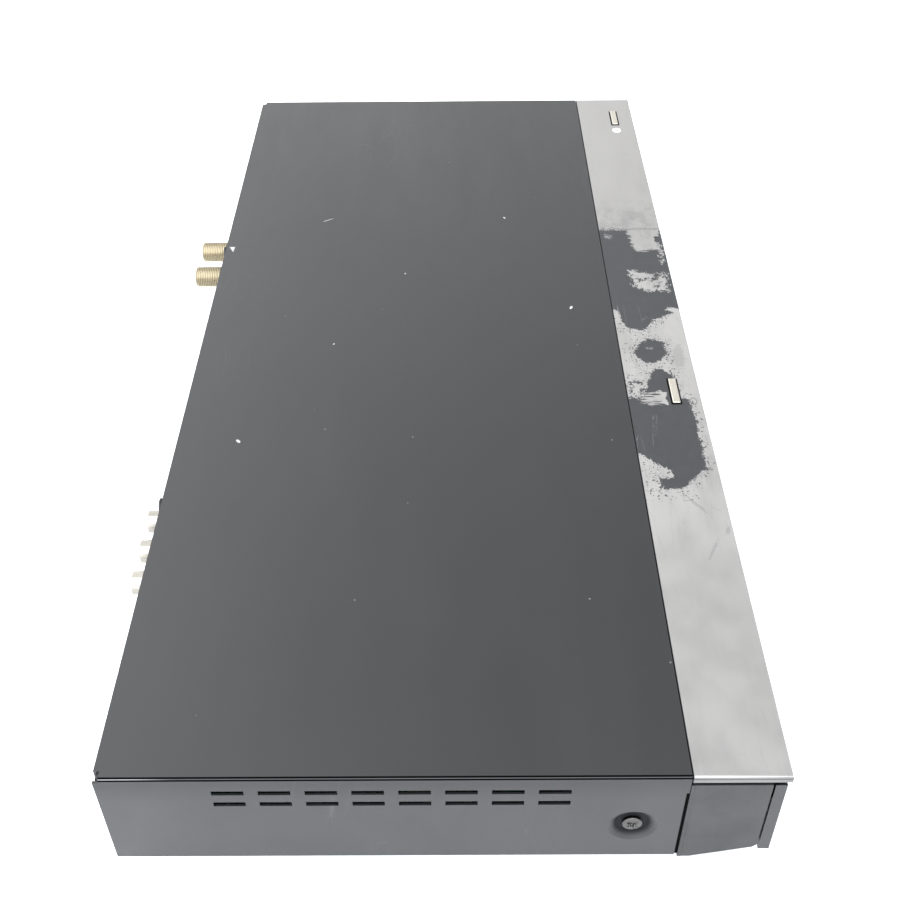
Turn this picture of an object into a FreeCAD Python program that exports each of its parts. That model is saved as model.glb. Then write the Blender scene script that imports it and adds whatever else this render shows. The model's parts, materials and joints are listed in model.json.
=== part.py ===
"""Slim full-width disc recorder: steel case, moulded front, disc drive, hard disk, boards and sockets.

X runs along the width, -Y is the front, +Z is up. The origin is under the middle of the object,
on the surface that it stands on. All sizes are millimetres.
"""

import FreeCAD, Part
import math
import os
import re

import Sketcher

Vector = FreeCAD.Vector

SIZES = {
    # case
    "width": 430.0,
    "depth": 200.0,
    "height": 49.0,
    "foot_height": 6.8,
    "foot_radius": 12.0,
    "foot_inset": 30.0,
    "foot_front_inset": 44.0,
    "foot_rear_inset": 24.0,
    "sheet_wall": 0.8,
    "cover_wall": 0.7,
    "cover_bend": 0.8,
    "cover_side_drop": 41.1,
    "cover_step": 1.1,
    "cover_step_drop": 8.0,
    "flange_height": 8.4,
    "flange_relief": 3.0,
    "corner_notch": 1.8,
    "pan_side_rise": 9.0,
    "pan_front_rise": 5.0,
    "rib_length": 212.0,
    "rib_width": 4.0,
    "rib_rise": 0.7,
    "rib_pitch": 40.0,
    "stand_off_radius": 3.0,
    "tab_width": 16.0,
    "fit_gap": 0.3,
    "running_gap": 0.06,
    # vents and screws
    "vent_length": 9.4,
    "vent_height": 2.0,
    "vent_pitch": 13.5,
    "vent_count": 8,
    "vent_first": 33.3,
    "vent_row_drop": 6.0,
    "vent_row_pitch": 5.6,
    "screw_setback": 15.2,
    "screw_drop": 25.0,
    "dish_radius": 7.5,
    "dish_floor_radius": 4.6,
    "dish_depth": 2.4,
    "screw_head_radius": 3.0,
    "screw_head_height": 1.6,
    "screw_shank_radius": 1.3,
    "screw_length": 6.0,
    "rear_screw_radius": 2.9,
    "rear_screw_proud": 2.2,
    # moulded front
    "cap_depth": 28.5,
    "cap_wall": 1.5,
    "cap_lip": 2.7,
    "cap_edge_radius": 0.7,
    "body_reach": 22.4,
    "body_wall": 2.0,
    "body_setback": 1.0,
    "body_drop": 4.1,
    "body_heel": 2.5,
    "body_chin": 1.2,
    "body_slope_rise": 5.1,
    "plate_wall": 3.4,
    "plate_setback": 1.1,
    "plate_bottom": 11.0,
    "plate_boss_height": 20.0,
    # controls on the cap
    "button_length": 15.0,
    "button_width": 3.0,
    "button_proud": 0.7,
    "button_gap": 0.65,
    "button_edge_radius": 0.5,
    "button_flange": 0.8,
    "button_flange_reach": 1.4,
    "button_setback": 10.0,
    "stem_width": 2.4,
    "open_button_x": -40.3,
    "power_button_inset": 22.5,
    "light_pitch": 13.9,
    "light_radius": 2.2,
    "plunger_radius": 1.7,
    "switch_height": 3.0,
    "switch_width": 6.0,
    "key_board_depth": 12.0,
    "key_board_wall": 1.2,
    # display, flap and what is behind it
    "display_low": 20.0,
    "display_length": 40.0,
    "display_height": 17.0,
    "display_inset": 50.0,
    "front_board_low": 11.8,
    "front_board_height": 26.0,
    "flap_inset": 8.0,
    "flap_length": 95.0,
    "flap_top_gap": 2.6,
    "flap_pin_radius": 0.8,
    "card_z": 23.5,
    "memory_z": 31.0,
    "card_height": 5.0,
    "port_z": 29.0,
    "port_width": 14.0,
    "port_height": 7.0,
    # disc drive: case and tray
    "drive_x": -18.0,
    "drive_depth": 167.0,
    "drive_floor": 15.6,
    "drive_wall": 2.0,
    "drive_floor_wall": 1.2,
    "drive_height": 31.0,
    "bridge_wall": 0.8,
    "tray_width": 128.0,
    "tray_side_gap": 5.5,
    "tray_length": 161.0,
    "tray_thick": 5.0,
    "tray_z": 29.5,
    "tray_travel": 140.0,
    "tray_arm": 16.0,
    "tray_slot_width": 54.0,
    "bay_depth": 2.0,
    "rack_height": 4.0,
    "rack_back": 3.0,
    "rail_grip": 3.0,
    "rail_thick": 2.0,
    "disc_radius": 61.0,
    "small_disc_radius": 41.0,
    "disc_setback": 65.0,
    "bezel_height": 12.0,
    "bezel_width": 132.0,
    "bezel_gap": 0.5,
    # disc drive: gears and belt
    "gear_module": 1.25,
    "rack_gear_teeth": 16,
    "wheel_teeth": 22,
    "pinion_teeth": 10,
    "wheel_thick": 2.6,
    "pinion_thick": 3.4,
    "axle_radius": 1.5,
    "pulley_radius": 8.0,
    "pulley_thick": 3.0,
    "pulley_rim": 1.1,
    "motor_pulley_radius": 3.0,
    "groove_depth": 1.3,
    "belt_groove": 0.8,
    "belt_thick": 0.8,
    "motor_radius": 10.0,
    # disc drive: lift, spindle and pickup
    "traverse_lift": 5.0,
    "cam_travel": 20.0,
    "deck_wall": 1.2,
    "guide_radius": 1.8,
    "guide_spread": 42.0,
    "bush_radius": 3.4,
    "lift_pin_radius": 1.3,
    "spindle_motor_radius": 11.0,
    "shaft_radius": 1.0,
    "table_radius": 15.0,
    "table_hub_radius": 7.4,
    "clamp_radius": 16.0,
    "pickup_radius": 24.0,
    "sled_length": 18.0,
    "rod_radius": 1.5,
    "rod_spread": 29.0,
    "lens_radius": 4.0,
    # boards and hard disk
    "board_wall": 1.6,
    "board_lift": 3.5,
    "main_board_width": 232.0,
    "main_board_depth": 66.7,
    "board_wing": 15.0,
    "power_board_width": 72.0,
    "power_board_depth": 140.0,
    "sink_size": 32.0,
    "fin_wall": 1.4,
    "disk_inset": 64.0,
    "disk_width": 101.6,
    "disk_length": 147.0,
    "disk_height": 26.1,
    "disk_lid": 2.5,
    "disk_corner": 3.0,
    "bracket_rise": 20.0,
    # fan and rear sockets
    "fan_size": 40.0,
    "fan_depth": 12.0,
    "fan_hub_radius": 8.0,
    "spoke_depth": 2.4,
    "spoke_width": 1.8,
    "grille_width": 32.0,
    "grille_pitch": 4.6,
    "grille_slot": 2.6,
    "antenna_pitch": 21.2,
    "antenna_radius": 4.75,
    "antenna_proud": 15.0,
    "antenna_offset": 10.1,
    "tuner_side": 9.0,
    "tuner_depth": 34.0,
    "upper_socket_drop": 14.0,
    "panel_hole_gap": 1.0,
    "jack_pitch": 15.0,
    "jack_offset": 7.3,
    "jack_radius": 4.2,
    "jack_bore_radius": 1.65,
    "jack_collar": 1.0,
    "jack_proud": 7.2,
    "inlet_inset": 27.0,
    "inlet_width": 27.0,
    "inlet_height": 17.0,
    "network_width": 16.0,
    "network_height": 13.5,
    "digital_width": 15.0,
    "digital_height": 6.0,
}

PLACES = {
    "side": "width / 2",
    "front": "-(depth + antenna_proud) / 2",
    "rear": "front + depth",
    "seam": "front + cap_depth",
    "cover_bottom": "height - cover_side_drop",
    "floor_top": "foot_height + sheet_wall",
    "rib_middle": "front + depth / 2 + 9.5",
    "body_front": "seam - body_setback - body_reach",
    "body_back": "seam - body_setback",
    "body_top": "height - body_drop",
    "plate_front": "front + plate_setback",
    "plate_back": "plate_front + plate_wall",
    "button_y": "front + button_setback",
    "power_button_x": "side - power_button_inset",
    "light_x": "power_button_x - light_pitch",
    "flap_right": "side - flap_inset",
    "flap_left": "flap_right - flap_length",
    "flap_pin_y": "plate_front + plate_wall / 2",
    "flap_pin_z": "plate_bottom + plate_wall / 2 + 1",
    "display_left": "flap_left - display_inset",
    "board_plane": "body_back - 9",
    "panel_back": "rear - cover_wall",
    "panel_front": "panel_back - sheet_wall",
    "board_bottom": "floor_top + board_lift",
    "board_top": "board_bottom + board_wall",
    "main_board_x": "drive_x - main_board_width / 2",
    "power_board_x": "-side + 4",
    "power_board_y": "front + 41.5",
    "drive_width": "tray_width + 2 * (tray_side_gap + drive_wall)",
    "drive_front": "body_back + fit_gap",
    "drive_top": "drive_floor + drive_height",
    "drive_inner": "drive_width / 2 - drive_wall",
    "drive_deck": "drive_floor + drive_floor_wall",
    "tray_front": "body_back + 3",
    "tray_top": "tray_z + tray_thick",
    "disc_y": "tray_front + disc_setback",
    "bezel_low": "tray_z - 4",
    "key_board_z": "bezel_low + bezel_height + 1.5",
    "key_top": "key_board_z + key_board_wall",
    "rack_x": "drive_x + tray_width / 2 - 8",
    "gear_y": "drive_front + 17.5",
    "drive_gear_x": "rack_x - gear_module * rack_gear_teeth / 2",
    "pulley_gear_x": "drive_gear_x - gear_module * (wheel_teeth + pinion_teeth) / 2",
    "motor_x": "pulley_gear_x - 38",
    "gear_low": "drive_deck + 3.2",
    "gear_high": "tray_z - rack_height",
    "traverse_z": "drive_deck + 6.2",
    "sled_z": "drive_deck + 3.4",
    "slider_front": "disc_y - 31.6",
    "pickup_y": "disc_y + pickup_radius",
    "rod_x": "drive_x - rod_spread - 1",
    "screw_x": "drive_x + rod_spread - 1",
    "socket_z": "height - upper_socket_drop",
    "antenna_x": "drive_x + drive_width / 2 + antenna_offset",
    "network_x": "antenna_x + antenna_pitch + 27.2",
    "jack_x": "drive_x - drive_width / 2 - jack_offset",
    "inlet_x": "-side + inlet_inset",
    "rear_port_x": "inlet_x + 25",
    "digital_x": "inlet_x + 43",
    "disk_x": "side - disk_inset",
    "disk_front": "body_back + 6",
    "disk_z": "floor_top + 5",
    "fan_x": "side - disk_inset",
    "fan_low": "floor_top + 0.2",
    "fan_middle": "fan_low + fan_size / 2",
}

LIFT_PIN_OFFSETS = (-30, 2)

doc = FreeCAD.newDocument("DiscRecorder")
nodes = {}


def fill_sheet(name, cells):
    """A spreadsheet with one named cell a row."""
    sheet = doc.addObject("Spreadsheet::Sheet", name)
    for row, (alias, content) in enumerate(cells.items(), 1):
        sheet.set(f"A{row}", alias)
        sheet.set(f"B{row}", content)
        sheet.setAlias(f"B{row}", alias)
    doc.recompute()
    return sheet


def qualified(expression):
    """An expression with every size or place name led by its sheet's name."""
    def lead(match):
        word = match.group(0)
        if word in SIZES:
            return f"Sizes.{word}"
        if word in PLACES:
            return f"Places.{word}"
        return word
    return re.sub(r"[a-z_]+[a-z0-9_]*", lead, str(expression))


sizes = fill_sheet("Sizes", {alias: str(number) for alias, number in SIZES.items()})
places = fill_sheet("Places", {alias: "=" + qualified(formula) for alias, formula in PLACES.items()})


def value(expression):
    """The number that an expression gives now."""
    return float(sizes.evalExpression(qualified(expression)))


def bind(obj, prop, expression):
    obj.setExpression(prop, qualified(expression))


def place(obj, x, y, z):
    for axis, expression in zip("xyz", (x, y, z)):
        bind(obj, f"Placement.Base.{axis}", expression)


def block(name, x, y, z, length, width, height):
    """A box from its low corner and its three sizes."""
    box = doc.addObject("Part::Box", name)
    place(box, x, y, z)
    bind(box, "Length", length)
    bind(box, "Width", width)
    bind(box, "Height", height)
    return box


def aim(obj, axis):
    """Turns a solid of revolution or a prism so that its length runs along an axis."""
    turns = {"X": (Vector(0, 1, 0), 90), "Y": (Vector(1, 0, 0), -90), "Z": (Vector(0, 0, 1), 0)}
    obj.Placement.Rotation = FreeCAD.Rotation(*turns[axis])


def rod(name, axis, x, y, z, radius, length):
    """A cylinder from its first end's centre, along +X, +Y or +Z."""
    cylinder = doc.addObject("Part::Cylinder", name)
    aim(cylinder, axis)
    place(cylinder, x, y, z)
    bind(cylinder, "Radius", radius)
    bind(cylinder, "Height", length)
    return cylinder


def post(name, axis, x, y, z, radius, length, sides=12):
    """A round part that nothing turns on, drawn with flat sides."""
    prism = doc.addObject("Part::Prism", name)
    prism.Polygon = sides
    aim(prism, axis)
    place(prism, x, y, z)
    bind(prism, "Circumradius", radius)
    bind(prism, "Height", length)
    return prism


def taper(name, x, y, z, low_radius, high_radius, height, sides=24):
    """A flat-sided cone with its length along +Z."""
    ends = []
    for end, radius, level in (("low", low_radius, z), ("high", high_radius, f"{z} + {height}")):
        ring = doc.addObject("Part::RegularPolygon", f"{name}_{end}")
        ring.Polygon = sides
        bind(ring, "Circumradius", radius)
        place(ring, x, y, level)
        ends.append(ring)
    loft = doc.addObject("Part::Loft", name)
    loft.Sections = ends
    loft.Solid = True
    loft.Ruled = True
    return loft


def fuse(name, *pieces):
    joined = doc.addObject("Part::MultiFuse", name)
    joined.Shapes = list(pieces)
    joined.Refine = True
    return joined


def cut(name, base, *tools):
    """The base less every tool."""
    tool = tools[0] if len(tools) == 1 else fuse(name + "_tools", *tools)
    rest = doc.addObject("Part::Cut", name)
    rest.Base = base
    rest.Tool = tool
    return rest


def group(name, pieces):
    """Separate solids kept together."""
    together = doc.addObject("Part::Compound", name)
    together.Links = list(pieces)
    return together


def node(name, obj):
    """One exported piece, named by its label."""
    obj.Label = name
    nodes[name] = obj
    return obj


# Sketches and features of the bodies


def new_body(name):
    return doc.addObject("PartDesign::Body", name)


def origin_feature(body, role):
    return next(item for item in body.Origin.OriginFeatures if item.Role == role)


def sketch(body, name, plane, offset="0"):
    """A sketch on one of the body's own planes, shifted along the plane's normal."""
    drawing = body.newObject("Sketcher::SketchObject", name)
    drawing.AttachmentSupport = [(origin_feature(body, plane), "")]
    drawing.MapMode = "FlatFace"
    bind(drawing, "AttachmentOffset.Base.z", offset)
    return drawing


def fix_point(drawing, edge, end, x, y):
    """Ties a point of an edge to the sketch's origin by two driven distances."""
    for kind, expression in (("DistanceX", x), ("DistanceY", y)):
        index = drawing.addConstraint(Sketcher.Constraint(kind, -1, 1, edge, end, value(expression)))
        bind(drawing, f"Constraints[{index}]", expression)


def polygon(drawing, points):
    """A closed outline of straight edges through points given as expressions."""
    first = drawing.GeometryCount
    corners = [Vector(value(x), value(y), 0) for x, y in points]
    count = len(points)
    for i in range(count):
        drawing.addGeometry(Part.LineSegment(corners[i], corners[(i + 1) % count]), False)
    for i in range(count):
        joint = Sketcher.Constraint("Coincident", first + i, 2, first + (i + 1) % count, 1)
        drawing.addConstraint(joint)
    for i, (x, y) in enumerate(points):
        fix_point(drawing, first + i, 1, x, y)
    return drawing


def rectangle(drawing, x, y, length, width):
    """A rectangle from its low corner."""
    points = [(x, y), (f"{x} + {length}", y), (f"{x} + {length}", f"{y} + {width}"), (x, f"{y} + {width}")]
    return polygon(drawing, points)


def circle(drawing, x, y, radius):
    index = drawing.GeometryCount
    centre = Vector(value(x), value(y), 0)
    drawing.addGeometry(Part.Circle(centre, Vector(0, 0, 1), value(radius)), False)
    fix_point(drawing, index, 3, x, y)
    size = drawing.addConstraint(Sketcher.Constraint("Radius", index, value(radius)))
    bind(drawing, f"Constraints[{size}]", radius)
    return drawing


def path_through(drawing, corners):
    """A closed outline of straight edges through worked-out points."""
    count = len(corners)
    first = drawing.GeometryCount
    for i in range(count):
        drawing.addGeometry(Part.LineSegment(corners[i], corners[(i + 1) % count]), False)
    for i in range(count):
        drawing.addConstraint(Sketcher.Constraint("Coincident", first + i, 2, first + (i + 1) % count, 1))


def round_outline(drawing, x, y, radius, sides):
    """A many-sided outline about a point."""
    points = []
    for index in range(sides):
        angle = 2 * math.pi * index / sides
        points.append((f"{x} + ({radius}) * {math.cos(angle):.6f}", f"{y} + ({radius}) * {math.sin(angle):.6f}"))
    return polygon(drawing, points)


def pad(body, drawing, length, reverse=False):
    feature = body.newObject("PartDesign::Pad", drawing.Name + "_pad")
    feature.Profile = drawing
    bind(feature, "Length", length)
    feature.Reversed = reverse
    doc.recompute()
    return feature


def pocket(body, drawing, depth, reverse=False):
    """A pocket that must take something away."""
    before = body.Shape.Volume
    feature = body.newObject("PartDesign::Pocket", drawing.Name + "_pocket")
    feature.Profile = drawing
    bind(feature, "Length", depth)
    feature.Reversed = reverse
    doc.recompute()
    if feature.Shape.Volume > before - 1e-6:
        raise RuntimeError(f"{feature.Name} cuts nothing")
    return feature


def ring_of(body, features, count):
    """Copies of features around the body's own Z axis."""
    pattern = body.newObject("PartDesign::PolarPattern", features[0].Name + "_ring")
    pattern.Originals = features
    pattern.Axis = (origin_feature(body, "Z_Axis"), [""])
    pattern.Angle = 360
    bind(pattern, "Occurrences", count)
    body.Tip = pattern
    doc.recompute()
    return pattern


def round_edges(body, feature, radius, wanted):
    """A fillet on each edge that the test picks out by its middle and its length."""
    picked = []
    for index, edge in enumerate(feature.Shape.Edges, 1):
        if wanted(edge.CenterOfMass, edge.Length):
            picked.append(f"Edge{index}")
    if not picked:
        raise RuntimeError(f"no edge to round on {feature.Name}")
    fillet = body.newObject("PartDesign::Fillet", feature.Name + "_round")
    fillet.Base = (feature, picked)
    bind(fillet, "Radius", radius)
    body.Tip = fillet
    doc.recompute()
    return fillet


def near(first, second, reach=0.01):
    return abs(first - second) < reach


# Case


def top_cover():
    """The folded cover: stepped front edges, rear flange, vents and screw holes in both sides."""
    body = new_body("Cover")
    profile = sketch(body, "CoverProfile", "XZ_Plane", "-rear")
    polygon(profile, [
        ("-side", "cover_bottom"), ("-side", "height"), ("side", "height"), ("side", "cover_bottom"),
        ("side - cover_wall", "cover_bottom"), ("side - cover_wall", "height - cover_wall"),
        ("-side + cover_wall", "height - cover_wall"), ("-side + cover_wall", "cover_bottom"),
    ])
    shell = pad(body, profile, "depth - cap_depth - fit_gap")
    half = value("side")
    top = value("height")
    length_limit = value("depth") / 2
    bend = round_edges(body, shell, "cover_bend", lambda middle, length: length > length_limit
                       and near(abs(middle.x), half) and near(middle.z, top))
    inner = value("height - cover_wall")
    reach = value("side - cover_wall")
    round_edges(body, bend, "cover_bend / 3", lambda middle, length: length > length_limit
                and near(abs(middle.x), reach) and near(middle.z, inner))
    step = sketch(body, "CoverStep", "YZ_Plane", "-side - cover_wall")
    rectangle(step, "seam", "cover_bottom - cover_wall", "cover_step",
              "cover_side_drop - cover_step_drop + cover_wall")
    pocket(body, step, "width + 2 * cover_wall", True)
    flange = sketch(body, "RearFlange", "XZ_Plane", "-rear")
    rectangle(flange, "-side + flange_relief", "height - flange_height", "width - 2 * flange_relief",
              "flange_height - cover_wall / 2")
    pad(body, flange, "cover_wall")
    notch = sketch(body, "CornerNotches", "XY_Plane", "height + cover_wall")
    for x in ("-side - cover_wall", "side - flange_relief"):
        rectangle(notch, x, "rear - corner_notch", "flange_relief + cover_wall", "2 * corner_notch")
    pocket(body, notch, "3 * cover_wall")
    seat = sketch(body, "ScrewHoles", "YZ_Plane", "-side - cover_wall")
    round_outline(seat, "seam + screw_setback", "height - screw_drop", "dish_radius", 24)
    pocket(body, seat, "width + 2 * cover_wall", True)
    slot = sketch(body, "Vent", "YZ_Plane", "-side - cover_wall")
    rectangle(slot, "rear - vent_first - vent_length", "height - vent_row_drop - vent_height",
              "vent_length", "vent_height")
    rectangle(slot, "rear - vent_first - vent_length",
              "height - vent_row_drop - vent_height - vent_row_pitch", "vent_length", "vent_height")
    first = pocket(body, slot, "width + 2 * cover_wall", True)
    vents = body.newObject("PartDesign::LinearPattern", "Vents")
    vents.Originals = [first]
    vents.Direction = (origin_feature(body, "Y_Axis"), [""])
    vents.Reversed = True
    bind(vents, "Length", "vent_pitch * (vent_count - 1)")
    bind(vents, "Occurrences", "vent_count")
    body.Tip = vents
    doc.recompute()
    return body


def screw_dish(name, sign):
    """A pressed dish round a side screw: a thin tapered cup with a holed floor."""
    outer = taper(name + "_outer", "0", "0", "0", "dish_radius + 2 * cover_wall",
                 "dish_floor_radius + cover_wall", "dish_depth")
    inner = taper(name + "_inner", "0", "0", "0", "dish_radius", "dish_floor_radius",
                 "dish_depth - cover_wall")
    bore = post(name + "_bore", "Z", "0", "0", "0", "screw_shank_radius + fit_gap", "2 * dish_depth")
    dish = cut(name, outer, inner, bore)
    turn = FreeCAD.Rotation(Vector(0, 1, 0), 90 if sign < 0 else -90)
    dish.Placement = FreeCAD.Placement(Vector(), turn)
    edge = "-side" if sign < 0 else "side"
    place(dish, edge, "seam + screw_setback", "height - screw_drop")
    return dish


def tapping_screw(name, sign, x, y, z, length):
    """A pan-head screw along X whose head sits outward of its seat."""
    start = f"{x} - ({length})" if sign > 0 else x
    head = x if sign > 0 else f"{x} - screw_head_height"
    shank = post(name + "_shank", "X", start, y, z, "screw_shank_radius", length)
    cap = post(name + "_head", "X", head, y, z, "screw_head_radius", "screw_head_height", 16)
    return fuse(name, shank, cap)


def bottom_chassis():
    """A folded pan with side flanges, screw tabs, a front flange, pressed ribs and stand-offs."""
    inner = "side - cover_wall - fit_gap"
    start = "body_back + fit_gap"
    deep = "panel_front - body_back - fit_gap"
    floor = block("PanFloor", f"-({inner})", start, "foot_height", f"2 * ({inner})", deep, "sheet_wall")
    walls = []
    for name, x in (("Left", f"-({inner})"), ("Right", f"{inner} - sheet_wall")):
        walls.append(block(f"Pan{name}", x, start, "foot_height", "sheet_wall", deep, "pan_side_rise"))
    walls.append(block("PanFront", f"-({inner})", start, "foot_height", f"2 * ({inner})", "sheet_wall",
                       "pan_front_rise"))
    ribs = []
    for row in (-1, 0, 1):
        ribs.append(block(f"PanRib{row + 1}", "drive_x - rib_length / 2", f"rib_middle + {row} * rib_pitch",
                          "floor_top", "rib_length", "rib_width", "rib_rise"))
    posts = []
    for index, (x, y, top) in enumerate(post_places()):
        posts.append(post(f"Post{index}", "Z", x, y, "foot_height", "stand_off_radius",
                          f"{top} - foot_height", 6))
    tabs = []
    holes = []
    for name, x in (("Left", "-side + dish_depth"), ("Right", "side - dish_depth - sheet_wall")):
        tabs.append(block(f"Tab{name}", x, "seam + screw_setback - tab_width / 2", "foot_height", "sheet_wall",
                          "tab_width", "height - screw_drop + tab_width / 2 - foot_height"))
        holes.append(post(f"TabHole{name}", "X", f"{x} - sheet_wall", "seam + screw_setback",
                          "height - screw_drop", "screw_shank_radius + fit_gap", "3 * sheet_wall"))
    return cut("Pan", fuse("PanWhole", floor, *walls, *ribs, *posts, *tabs), *holes)


def post_places():
    """Where the pan's stand-offs rise, and how high."""
    left = "drive_x - drive_width / 2 + 2 * stand_off_radius"
    right = "drive_x + drive_width / 2 - 2 * stand_off_radius"
    spots = []
    for y in ("drive_front + 8", "drive_front + 96"):
        spots.append((left, y, "drive_floor"))
        spots.append((right, y, "drive_floor"))
    for x in ("main_board_x + 6", "main_board_x + main_board_width - 6"):
        spots.append((x, "panel_front - 21", "board_bottom"))
    for y in ("power_board_y + 6", "power_board_y + power_board_depth - 8"):
        spots.append(("power_board_x + power_board_width / 2", y, "board_bottom"))
    return spots


def foot_places():
    across = "side - foot_inset"
    return [(f"-({across})", "front + foot_front_inset"), (across, "front + foot_front_inset"),
            (f"-({across})", "rear - foot_rear_inset"), (across, "rear - foot_rear_inset")]


def rubber_feet():
    """Four rubber feet, face to face with the pan."""
    feet = [post(f"Foot{index}", "Z", x, y, "0", "foot_radius", "foot_height", 20)
            for index, (x, y) in enumerate(foot_places())]
    return group("Feet", feet)


def rear_panel():
    """The rear plate with a cut-out for each socket and a slotted fan grille."""
    inner = "side - cover_wall - fit_gap"
    plate = block("RearPlate", f"-({inner})", "panel_front", "foot_height", f"2 * ({inner})", "sheet_wall",
                  "height - cover_wall - fit_gap - foot_height")
    before = "panel_front - sheet_wall"
    through = "3 * sheet_wall"
    holes = []
    for column in range(2):
        holes.append(post(f"AntennaHole{column}", "Y", f"antenna_x + {column} * antenna_pitch", before,
                          "socket_z", "antenna_radius + panel_hole_gap", through, 16))
    for column in range(3):
        holes.append(post(f"JackHole{column}", "Y", f"jack_x - {column} * jack_pitch", before, "socket_z",
                          "jack_radius + jack_collar + fit_gap", through, 16))
    for name, (x, z, length, height) in socket_outlines().items():
        holes.append(block(f"{name}Hole", f"{x} - ({length}) / 2 - fit_gap", before, f"{z} - fit_gap",
                           f"{length} + 2 * fit_gap", through, f"{height} + 2 * fit_gap"))
    for line in range(7):
        holes.append(block(f"GrilleSlot{line}", "fan_x - grille_width / 2", before,
                           f"fan_low + 5.3 + {line} * grille_pitch", "grille_width", through, "grille_slot"))
    return cut("RearSheet", plate, *holes)


def socket_outlines():
    """Middle in X, bottom, length and height of each square socket where it meets the rear panel."""
    return {
        "Inlet": ("inlet_x", "board_top + 3.3", "inlet_width", "inlet_height"),
        "Network": ("network_x", "board_top", "network_width", "network_height"),
        "Digital": ("digital_x", "board_top", "digital_width", "digital_height"),
        "Serial": ("rear_port_x", "board_top", "port_width", "port_height"),
    }


# Moulded front


def front_cap():
    """The painted strip along the top front edge, a shallow tray turned over."""
    body = new_body("Cap")
    outline = sketch(body, "CapOutline", "XY_Plane", "height - cap_lip")
    rectangle(outline, "-side", "front", "width", "cap_depth")
    whole = pad(body, outline, "cap_lip")
    top = value("height")
    edge = value("front")
    half = value("side")
    round_edges(body, whole, "cap_edge_radius", lambda middle, length: near(middle.z, top)
                and (near(middle.y, edge) or near(abs(middle.x), half)))
    hollow = sketch(body, "CapHollow", "XY_Plane", "height - cap_lip")
    rectangle(hollow, "-side + cap_wall", "front + cap_wall", "width - 2 * cap_wall", "cap_depth")
    pocket(body, hollow, "cap_lip - cap_wall", True)
    windows = sketch(body, "CapWindows", "XY_Plane", "height + cap_wall")
    for x in ("open_button_x", "power_button_x"):
        rectangle(windows, f"{x} - button_length / 2 - button_gap", "button_y - button_width / 2 - button_gap",
                  "button_length + 2 * button_gap", "button_width + 2 * button_gap")
    circle(windows, "light_x", "button_y", "light_radius + running_gap")
    pocket(body, windows, "3 * cap_wall")
    return body


def front_body():
    """The dark housing behind the front plate: sloped below, open to the rear, with end walls."""
    body = new_body("Housing")
    profile = sketch(body, "HousingProfile", "YZ_Plane", "-side")
    polygon(profile, [
        ("body_back", "foot_height"), ("body_back - body_heel", "foot_height"),
        ("body_front + body_chin", "foot_height + body_slope_rise"),
        ("body_front", "foot_height + body_slope_rise + body_chin"),
        ("body_front", "body_top"), ("body_back", "body_top"),
    ])
    pad(body, profile, "width")
    hollow = sketch(body, "HousingHollow", "YZ_Plane", "-side + body_wall")
    polygon(hollow, [
        ("body_back + body_wall", "foot_height + body_wall"),
        ("body_back - body_heel", "foot_height + body_wall"),
        ("body_front + body_wall", "foot_height + body_slope_rise + body_wall + body_chin"),
        ("body_front + body_wall", "body_top - body_wall"), ("body_back + body_wall", "body_top - body_wall"),
    ])
    pocket(body, hollow, "width - 2 * body_wall", True)
    front = sketch(body, "HousingWindows", "XZ_Plane", "-body_front + body_wall")
    rectangle(front, "drive_x - bezel_width / 2 - bezel_gap", "bezel_low - bezel_gap",
              "bezel_width + 2 * bezel_gap", "bezel_height + 2 * bezel_gap")
    rectangle(front, "display_left", "display_low", "display_length", "display_height")
    rectangle(front, "flap_left + 8", "card_z + 1.2", "56", "2.6")
    rectangle(front, "flap_left + 8", "memory_z + 0.7", "26", "3.6")
    rectangle(front, "flap_right - 22.4", "port_z - fit_gap", "port_width + 0.8", "port_height + 2 * fit_gap")
    pocket(body, front, "3 * body_wall")
    switches = sketch(body, "HousingSwitchSlots", "XY_Plane", "body_top + body_wall")
    for x in ("open_button_x", "power_button_x"):
        rectangle(switches, f"{x} - button_length / 2 - 2", "button_y - button_width / 2 - 2",
                  "button_length + 4", "button_width + 4")
    circle(switches, "light_x", "button_y", "light_radius + bezel_gap")
    pocket(body, switches, "3 * body_wall")
    bosses = []
    for index, x in enumerate(("open_button_x - 9", "display_left - 2", "flap_left + 38", "power_button_x + 1")):
        bosses.append(block(f"KeyBoss{index}", x, "body_front + body_wall / 2",
                            "key_board_z - key_board_wall", "5", "8", "key_board_wall"))
    for index, x in enumerate(("flap_left - 8.5", "flap_left + 68")):
        bosses.append(block(f"BoardBoss{index}", x, "body_front + body_wall / 2", "front_board_low + 4.2", "4",
                            "board_plane - body_front - body_wall / 2", "4"))
    return fuse("HousingWhole", body, *bosses)


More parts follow.
